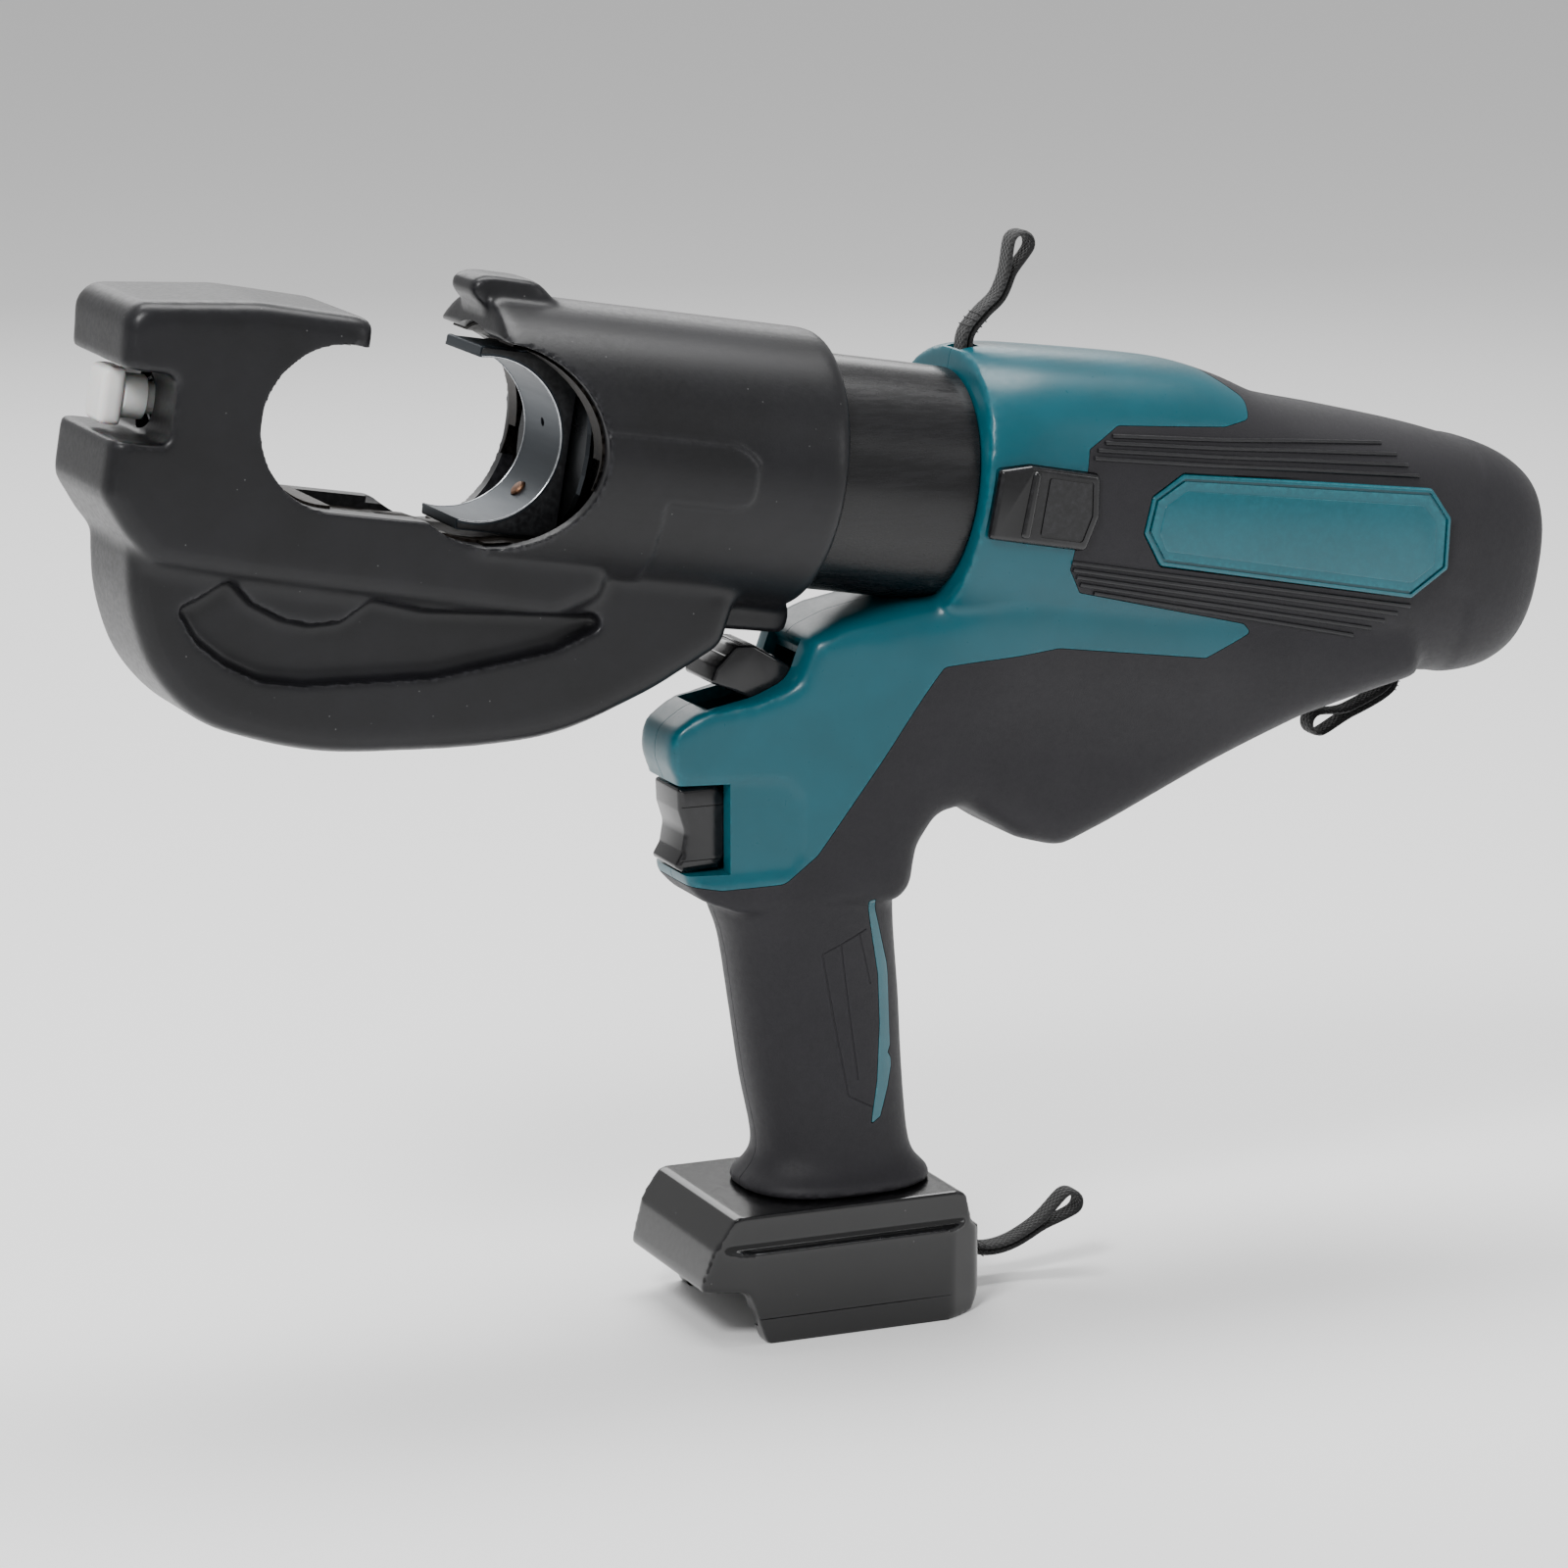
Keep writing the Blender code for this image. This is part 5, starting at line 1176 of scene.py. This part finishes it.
    def solid(self, amount: float, count: int = 11, points: int = 20) -> Shape:
        """Whole body moved inwards by amount, for hollowing."""
        rim = max(9.0 - amount, 4.0)
        spine = plate(inset(self.spine, amount), -self.spine_half + amount, self.spine_half - amount, rim=rim,
                      steps=1)
        spine.within(lying(inset(self.hood, amount), 100, 320))
        return spine.plus(self.barrel(amount, count, points), self.handle(amount, min(points, 20)))

    def flared(self, co: Vector) -> Vector:
        """Sides swept outwards under the barrel, so that the neck and belly grow out of it."""
        local = RAM.inverted() @ co
        w, a = local.z / MM, local.x / MM
        rise = eased((w + 84.0) / 48.0)
        reach = eased((a - 26.0) / 38.0)
        if w < -22.0 and abs(co.y) > 0.012:
            outward = min(abs(co.y) / (self.spine_half * MM), 1.0)
            local.y += math.copysign(self.flare * MM * rise * reach * outward, co.y)
        return RAM @ local

    def outer(self) -> Shape:
        """Outer surface of the whole body as one soft-edged skin."""
        spine = plate(self.spine, -self.spine_half, self.spine_half, rim=9.0)
        spine.within(lying(self.hood, 100, 320))
        spine.softened(1.8, 4).shifted(self.flared)
        band = self.barrel(-0.7, 60, 96).within(plate(self.tail_band, -60, 60).placed(RAM))
        skin = spine.with_shells(self.barrel(0.0, 60, 96), self.handle(0.0, 72, 6), band)
        skin.softened(1.3, 4)
        panels = []
        for side, _ in each_side():
            guard = [(-70, 150, 1), (-24, 152, 4), (-20, 158, 5), (-20, 178, 5), (-26, 184, 4),
                     (-70, 185.5, 1)]
            slope = lying([(-70, 11.6), (-50, 15.6), (-36, 18.8), (-14, 22.6), (-14, 60), (-70, 60)], 140,
                          200)
            if side < 0:
                slope.placed(Matrix.Diagonal((1.0, -1.0, 1.0, 1.0)))
                slope.mesh.flip_normals()
            panels.append(plate(guard, *span(side, 5, OUTSIDE)).within(slope))
        skin.minus(*panels)
        return skin.softened(1.3, 2)

    def build(self) -> None:
        """Shell halves, over-mould and everything set into them."""
        outer = self.outer()
        self.surface = Skin(outer)
        zone = plate(self.soft, -90, 90).placed(RAM)
        pocket = zone.copy().minus(self.solid(self.skin))
        cavity = self.solid(self.wall, 9, 16)
        trigger_wall = box((-80, -44 + self.wall), ACROSS, (153 - self.wall, 183 + self.wall))
        cavity.minus(trigger_wall, cross_rod(*LEVER_AXIS, 4.4, -60, 60))
        drive_room = turned([(12.6, 206), (12.6, 190), (27.3, 190), (27.3, 104)]).placed(RAM)
        pump_room = box((45, 101), (-26.3, 26.3), (-30.3, 22)).placed(RAM)
        reservoir_room = box((45, 104.5), (-20.6, 20.6), (21, 42)).placed(RAM)
        collar_bores = [rod(36.3, 20, self.collar_front + self.wall + 0.5), rod(38.7, -40, self.collar_front),
                        rod(39.1, self.collar_front + self.wall, 46)]
        top_slot = box((42.1, 48.9), TAPE_SLOT, (312.5, 330))
        tail_slot = box((203.4, 210), TAPE_SLOT, (180, 203.5))
        pin_hole = cross_rod(*LEVER_AXIS, 2.3, -17.3, 17.3)
        trigger_room = [box((-80, -44), ACROSS, (153, 183)), box((-80, -38.5), (-11.3, 11.3), (153.2, 182.6))]
        lever_room = plate([(-56, 214.5), (-50, 206), (-40, 202.5, 2), (-24, 201, 4), (-15.5, 208, 4),
                            (-15, 224, 2), (-24, 240), (-60, 240)], -12.2, 12.2)
        cuts = [drive_room, pump_room, reservoir_room, *[bore.placed(RAM) for bore in collar_bores], top_slot,
                pin_hole, *trigger_room, lever_room]
        shared = [tail_slot]
        for side, _ in each_side():
            shared.append(plate(inset(self.pad, -0.3), *span(side, 42.4, OUTSIDE)).placed(RAM))
            shared.append(plate(inset(self.badge, -0.6), *span(side, 41.0, OUTSIDE)).placed(RAM))
            shared.append(plate(inset(self.accent, -0.3), *span(side, 15.2, OUTSIDE)))
        hard = outer.copy().minus(pocket, cavity, *cuts, *shared)
        soft = outer.copy().within(plate(inset(self.soft, 0.25), -89, 89).placed(RAM))
        soft.minus(self.solid(self.skin - 0.2), *shared)
        soft.minus(*self.creases())
        wells, spots = self.screw_places()
        for side, tag in each_side():
            half = box((-200, 400), span(side, 0.15, 120), (-50, 500))
            shell = hard.copy().within(half)
            elastomer = soft.copy().within(half)
            if side > 0:
                shell.minus(*wells)
                elastomer.minus(*wells)
            finish_piece(shell, "shell_" + tag, HOUSING_NYLON, "body", ["housing_" + tag], sharp=30)
            finish_piece(elastomer, "grip_cover_" + tag, OVERMOULD_TPE, "body", ["overmould_" + tag],
                         sharp=30)
            self.pad_piece(side, tag)
            self.badge_piece(side, tag)
            self.accent_piece(side, tag, outer)
            self.rib_piece(side, tag)
        self.screw_piece(spots)

    def creases(self) -> List[Shape]:
        """Cutters for the fine moulded lines on the sides of the grip."""
        lines = (((-13, 124), (-3, 75), (8, 69)), ((-13, 124), (3, 131)), ((-6.5, 127), (0.5, 80)),
                 ((0.5, 129.5), (5, 112)))
        cutters = []
        for side, _ in each_side():
            for line in lines:
                laid = self.surface.line(line, side, WORLD, 0.12)
                if len(laid) > 1:
                    cutters.append(beads([laid], 0.42, OVERMOULD_TPE, facets=6))
        return cutters

    def pad_piece(self, side: int, tag: str) -> None:
        """Glossy block with a bright ridge and a framed flat on its face."""
        body = plate(self.pad, *span(side, 42.6, 46.6), rim=1.6)
        ridge = plate([(47.5, -9.6, 1.6), (51, -9.6, 1.6), (51.6, 12.4, 1.6), (48.6, 12.4, 1.6)],
                      *span(side, 44, 47.5), rim=1.2)
        flat = [(54, -8.6, 1.5), (70, -8.9, 1.5), (72.2, 0, 2), (70.6, 11, 1.5), (54.4, 11.4, 1.5)]
        frame_cut = plate(flat, *span(side, 46.2, 49)).minus(plate(inset(flat, 0.7), *span(side, 45, 50)))
        body.plus(ridge).minus(frame_cut)
        finish_piece(body.placed(RAM), "side_block_" + tag, CONTROL_ABS, "body", ["side_pad_" + tag],
                     sharp=28)

    def badge_piece(self, side: int, tag: str) -> None:
        """Blank badge: thin rim, dark groove and a bevelled panel with a step at top and bottom."""
        body = plate(self.badge, *span(side, 41.2, 44.2), rim=0.7)
        groove = plate(inset(self.badge, 1.3), *span(side, 43.3, 46)).minus(
            plate(inset(self.badge, 2.3), *span(side, 42, 47)))
        body.minus(groove)
        panel = [(102, -9.2, 2), (195, -11, 2), (202.5, -4.2, 2), (200.6, 10, 2), (194.6, 15.4, 2),
                 (106, 11.4, 2), (99, 5.4, 2), (98.4, -3.4, 2)]
        body.plus(plate(panel, *span(side, 42, 44.4), rim=0.5))
        finish_piece(body.placed(RAM), "blank_badge_" + tag, BADGE_NYLON, "body", ["badge_" + tag], sharp=28)

    def accent_piece(self, side: int, tag: str, outer: Shape) -> None:
        """Teal strip let into the back of the grip."""
        strip = outer.copy().within(plate(self.accent, *span(side, 15.4, 30)))
        finish_piece(strip, "grip_strip_" + tag, BADGE_NYLON, "body", ["grip_accent_" + tag], sharp=30)

    def rib_piece(self, side: int, tag: str) -> None:
        """Two groups of raised ribs above and below the badge, grown along lines on the surface."""
        lines = [self.surface.line(rib, side, RAM, 0.05) for rib in (*self.upper_ribs, *self.lower_ribs)]
        # The ribs' darker colour is painted shade of the grooves between them.
        finish_piece(beads(lines, 0.8, RIB_TPE_GROOVE_SHADE, facets=8), "side_ribs_" + tag, RIB_TPE_GROOVE_SHADE, "body", sharp=50)

    def screw_places(self) -> Tuple[List[Shape], List[Vector]]:
        """Wells for the five screws and the middle of each head."""
        places = [(*ram_to_world(a, w), depth) for a, w, depth in self.screws]
        places += [(-20, 195, 20), (-1, 146, 15)]
        wells = []
        spots = []
        for x, z, depth in places:
            wells += [cross_rod(x, z, 3.9, depth - 2.6, 60), cross_rod(x, z, 2.2, -9, 60, 20)]
            spots.append(Vector((x, depth - 1.3, z)) * MM)
        return wells, spots

    def screw_piece(self, spots: Sequence[Vector]) -> None:
        """The five housing screws, instanced on their places and baked into one mesh."""
        sizes = {"Head Radius": 3.5 * MM, "Head Height": 2.4 * MM, "Shank Radius": 1.9 * MM,
                 "Shank Length": 22.0 * MM, "Socket Radius": 1.7 * MM, "Finish": SCREW_STEEL.material()}
        made = NodeKit.grown(NodeKit.screws(), [[spot] for spot in spots], sizes)
        finish_piece(made, "housing_screws", SCREW_STEEL, "body",
                     ["housing_screw_%d" % n for n in range(1, 6)])


# === controls =================================================================================
@dataclass
class Controls:
    """Trigger and thumb lever."""

    trigger: Tuple[Row, ...] = (
        (-46, 154, 1), (-42, 158, 1), (-42, 178, 1), (-46, 182, 1), (-59.5, 181.6, 1.5), (-59.2, 174, 4),
        (-57, 167, 6), (-58.2, 160, 4), (-60.8, 155.6, 1.5), (-58, 153.6, 1))
    lever: Tuple[Row, ...] = (
        (-30, 206.5, 3), (-24, 205.5, 4), (-17.6, 210, 4), (-18.6, 217.5, 2), (-23, 220.5, 1),
        (-33, 226.6, 3), (-39.5, 227, 3), (-46.5, 220.5, 2), (-48.5, 215.5, 1.5), (-40, 212, 3))
    lever_ribs: Tuple[Row, ...] = ((-26.4, 222.4), (-29.6, 224.4), (-32.8, 226.2), (-36.4, 226.9),
                                   (-39.6, 226.0), (-42.6, 223.6))

    def trigger_piece(self) -> None:
        """Curved trigger with parting lines and a U-shaped mark on each side."""
        body = plate(self.trigger, -10.9, 10.9, rim=2.0, steps=6)
        mark = [(-43, 161.4, 0.2), (-43, 166.6, 0.2), (-47.2, 166.6, 2.4), (-47.2, 161.4, 2.4)]
        mark.reverse()
        cuts = []
        for side, _ in each_side():
            ring = plate(mark, *span(side, 10.5, 14)).minus(plate(inset(mark, 0.45), *span(side, 9, 15)))
            cuts += [ring, box((-62, -42), span(side, 10.4, 14), (175.0, 175.5)),
                     box((-62, -42), span(side, 10.4, 14), (157.2, 157.7))]
        body.minus(*cuts)
        finish_piece(body, "trigger_pad", CONTROL_ABS, "trigger", ["trigger"], sharp=28)

    def lever_piece(self) -> None:
        """Thumb lever with grip ribs across its crown."""
        body = plate(self.lever, -11.8, 11.8, rim=1.2, steps=6).minus(cross_rod(*LEVER_AXIS, 2.3, -30, 30))
        finish_piece(body, "thumb_lever", CONTROL_ABS, "lever", ["release_lever"], sharp=28)
        lines = []
        for x, z in self.lever_ribs:
            lines.append([Vector((x, y, z - 0.35)) * MM for y in (-10.2, 0.0, 10.2)])
        finish_piece(beads(lines, 0.75, CONTROL_ABS), "thumb_lever_ribs", CONTROL_ABS, "lever", sharp=50)

    def build(self) -> None:
        """Both controls and what is behind them."""
        self.trigger_piece()
        self.lever_piece()
        dress(CONTROL_ABS, "switch_body")
        dress(SPRING_STEEL, "trigger_spring", "lever_pin")


# === foot =====================================================================================
@dataclass
class BatteryFoot:
    """Glossy foot with stepped shoulders and a slide-in bay for a battery pack."""

    half: float = 38.0
    bay_half: float = 30.5
    rail_half: float = 33.5
    side: Tuple[Row, ...] = ((-39.8, 0, 1), (36, 0, 3), (41, 8, 3), (41, 28, 3), (36, 31.4, 1.5),
                             (33, 42.3, 4),
                             (-49, 42.3, 4), (-56, 32.4, 1.5), (-60.8, 17.4, 2), (-45.8, 17.4, 1))
    plan: Tuple[Row, ...] = ((-62, -30, 6), (-44, -38, 6), (26, -38, 8), (41, -29, 9), (41, 29, 9),
                             (26, 38, 8), (-44, 38, 6), (-62, 30, 6))

    def build(self) -> None:
        """Foot, terminals and their block."""
        body = plate(self.side, -self.half, self.half)
        body.within(lying(self.plan, -80, 80))
        shoulders = [box((-90, 90), span(side, 33.5, OUTSIDE), (31.4, 80)) for side, _ in each_side()]
        body.minus(*shoulders)
        body.softened(0.9, 3)
        trims = [box((-70, 60), span(side, 37.5, OUTSIDE), (8.4, 9.0)) for side, _ in each_side()]
        bay = box((-90, 30), (-self.bay_half, self.bay_half), (-5, 15))
        rails = box((-90, 28), (-self.rail_half, self.rail_half), (5, 11))
        body.minus(bay, rails, box((35, 60), TAPE_SLOT, (11, 17)), *trims)
        finish_piece(body, "foot_moulding", FOOT_PC, "body", ["battery_foot"], sharp=32)
        dress(CONTROL_ABS, "terminal_block")
        dress(CONTACT_BRASS, "terminal_plus", "terminal_minus")


# === carrying loops ===========================================================================
@dataclass
class CarryingLoops:
    """Three loops of black tape: each is folded round a small eye and stitched at its neck."""

    half: float = 4.6
    thick: float = 1.8
    eye: float = 2.6
    routes: Tuple[Tuple[str, Tuple[Row, ...]], ...] = (
        ("top", ((45.5, 313.5), (46.5, 322), (52, 328.5), (58, 334), (62, 343), (65.4, 350.6))),
        ("tail", ((207, 202.5), (207, 194.5), (203, 190), (190, 184.5), (179, 181.8))),
        ("foot", ((36, 14), (46, 13), (56, 10.5), (66, 12), (78, 18), (87, 23.4))))

    def route(self, points: Sequence[Row], count: int) -> List[Vector]:
        """Smooth line through the points."""
        return [Vector([smooth_value(points, k / count, column) for column in (0, 1)])
                for k in range(count + 1)]

    def loop_line(self, points: Sequence[Row]) -> List[Vector]:
        """Middle line of the tape out, round the eye and back."""
        spine = self.route(points, 36)
        out: List[Vector] = []
        back: List[Vector] = []
        last = len(spine) - 1
        for k, point in enumerate(spine):
            along = (spine[min(k + 1, last)] - spine[max(k - 1, 0)]).normalized()
            across = Vector((-along.y, along.x))
            open_up = max((k / last - 0.72) / 0.28, 0.0)
            offset = self.thick * 0.58 + self.eye * math.sin(open_up * math.pi * 0.5) ** 2
            out.append(point + across * offset)
            back.append(point - across * offset)
        along = (spine[-1] - spine[-2]).normalized()
        across = Vector((-along.y, along.x))
        radius = self.thick * 0.58 + self.eye
        turns = [math.pi * i / 10 for i in range(1, 10)]
        cap = [spine[-1] + across * radius * math.cos(turn) + along * radius * math.sin(turn) for turn in turns]
        return out + cap + list(reversed(back))

    def tape(self, name: str, points: Sequence[Row]) -> None:
        """One loop: tape with rounded selvedges, a raised weave and bar-tack stitches."""
        line = self.loop_line(points)
        last = len(line) - 1
        bm = bmesh.new()
        uv_layer = bm.loops.layers.uv.new("tape")
        across = [-1.0, -0.93, -0.75, -0.5, -0.25, 0.0, 0.25, 0.5, 0.75, 0.93, 1.0]
        rings = []
        distance = 0.0
        marks = []
        for k, point in enumerate(line):
            if k:
                distance += (point - line[k - 1]).length
            marks.append(distance)
            along = (line[min(k + 1, last)] - line[max(k - 1, 0)]).normalized()
            normal = Vector((-along.y, along.x))
            ring = []
            for face in (1, -1):
                for v in (across if face > 0 else reversed(across)):
                    swell = self.thick * 0.5 * (1 - abs(v) ** 6)
                    spot = point + normal * face * swell
                    ring.append(bm.verts.new((spot.x, v * self.half, spot.y)))
            rings.append(ring)
        count = len(rings[0])
        for k in range(last):
            for i in range(count):
                j = (i + 1) % count
                if (rings[k][i].co - rings[k][j].co).length < 1e-7:
                    continue
                face = bm.faces.new((rings[k][i], rings[k][j], rings[k + 1][j], rings[k + 1][i]))
                for loop in face.loops:
                    own = k if loop.vert in rings[k] else k + 1
                    loop[uv_layer].uv = (marks[own] * MM, loop.vert.co.y * MM)
        bm.faces.new(rings[0])
        bm.faces.new(rings[-1])
        shape = Shape.from_bmesh(bm)
        finish_piece(shape, "tape_loop_" + name, WEBBING, "body", ["strap_loop_" + name], sharp=60)
        self.stitching(name, line)

    def stitching(self, name: str, line: Sequence[Vector]) -> None:
        """Bar tacks across both faces of the neck."""
        last = len(line) - 1
        lines = []
        for k in (9, 11, 13):
            for own, face in ((k, 1), (last - k, 1)):
                point = line[own]
                along = (line[own + 1] - line[own - 1]).normalized()
                normal = Vector((-along.y, along.x)) * face * (self.thick * 0.5 + 0.02)
                spot = point + normal
                lines.append([Vector((spot.x, y, spot.y)) * MM for y in (-3.6, -1.2, 1.2, 3.6)])
        sizes = {"Stitch Pitch": 0.9 * MM, "Thread Radius": 0.22 * MM, "Finish": WEBBING.material()}
        made = NodeKit.grown(NodeKit.stitches(), lines, sizes)
        finish_piece(made, "tape_stitches_" + name, WEBBING, "body", sharp=60)

    def build(self) -> None:
        """All three loops."""
        for name, points in self.routes:
            self.tape(name, points)


# === drive train ==============================================================================
@dataclass
class DriveTrain:
    """Motor, gears, pump and electronics, closed inside the body."""

    def build(self) -> None:
        """Gives each inner piece its finish."""
        dress(CONTACT_BRASS, "thrust_ring", "relief_valve")
        dress(PUMP_ALLOY, "pump_block", "front_bearing", "rear_bearing")
        dress(SEAL_RUBBER, "oil_reservoir")
        dress(RAM_STEEL, "pump_plunger", "planet_gear_1", "planet_gear_2", "planet_gear_3", "sun_pinion")
        dress(JAW_STEEL, "ring_gear", "eccentric_shaft", "motor_rotor")
        dress(WINDING_COPPER, "motor_stator")
        dress(CONTROL_ABS, "cooling_fan")
        dress(BOARD_EPOXY, "controller_board")


def main() -> None:
    """Build the tool in order."""
    logging.basicConfig(level=logging.INFO, format="%(name)s: %(message)s")
    studio = Studio()
    studio.camera()
    studio.build()
    for assembly in (CrimpHead(), ToolBody(), Controls(), BatteryFoot(), CarryingLoops(), DriveTrain()):
        assembly.build()
        LOG.info("%s done", type(assembly).__name__)


if __name__ == "__main__":
    main()
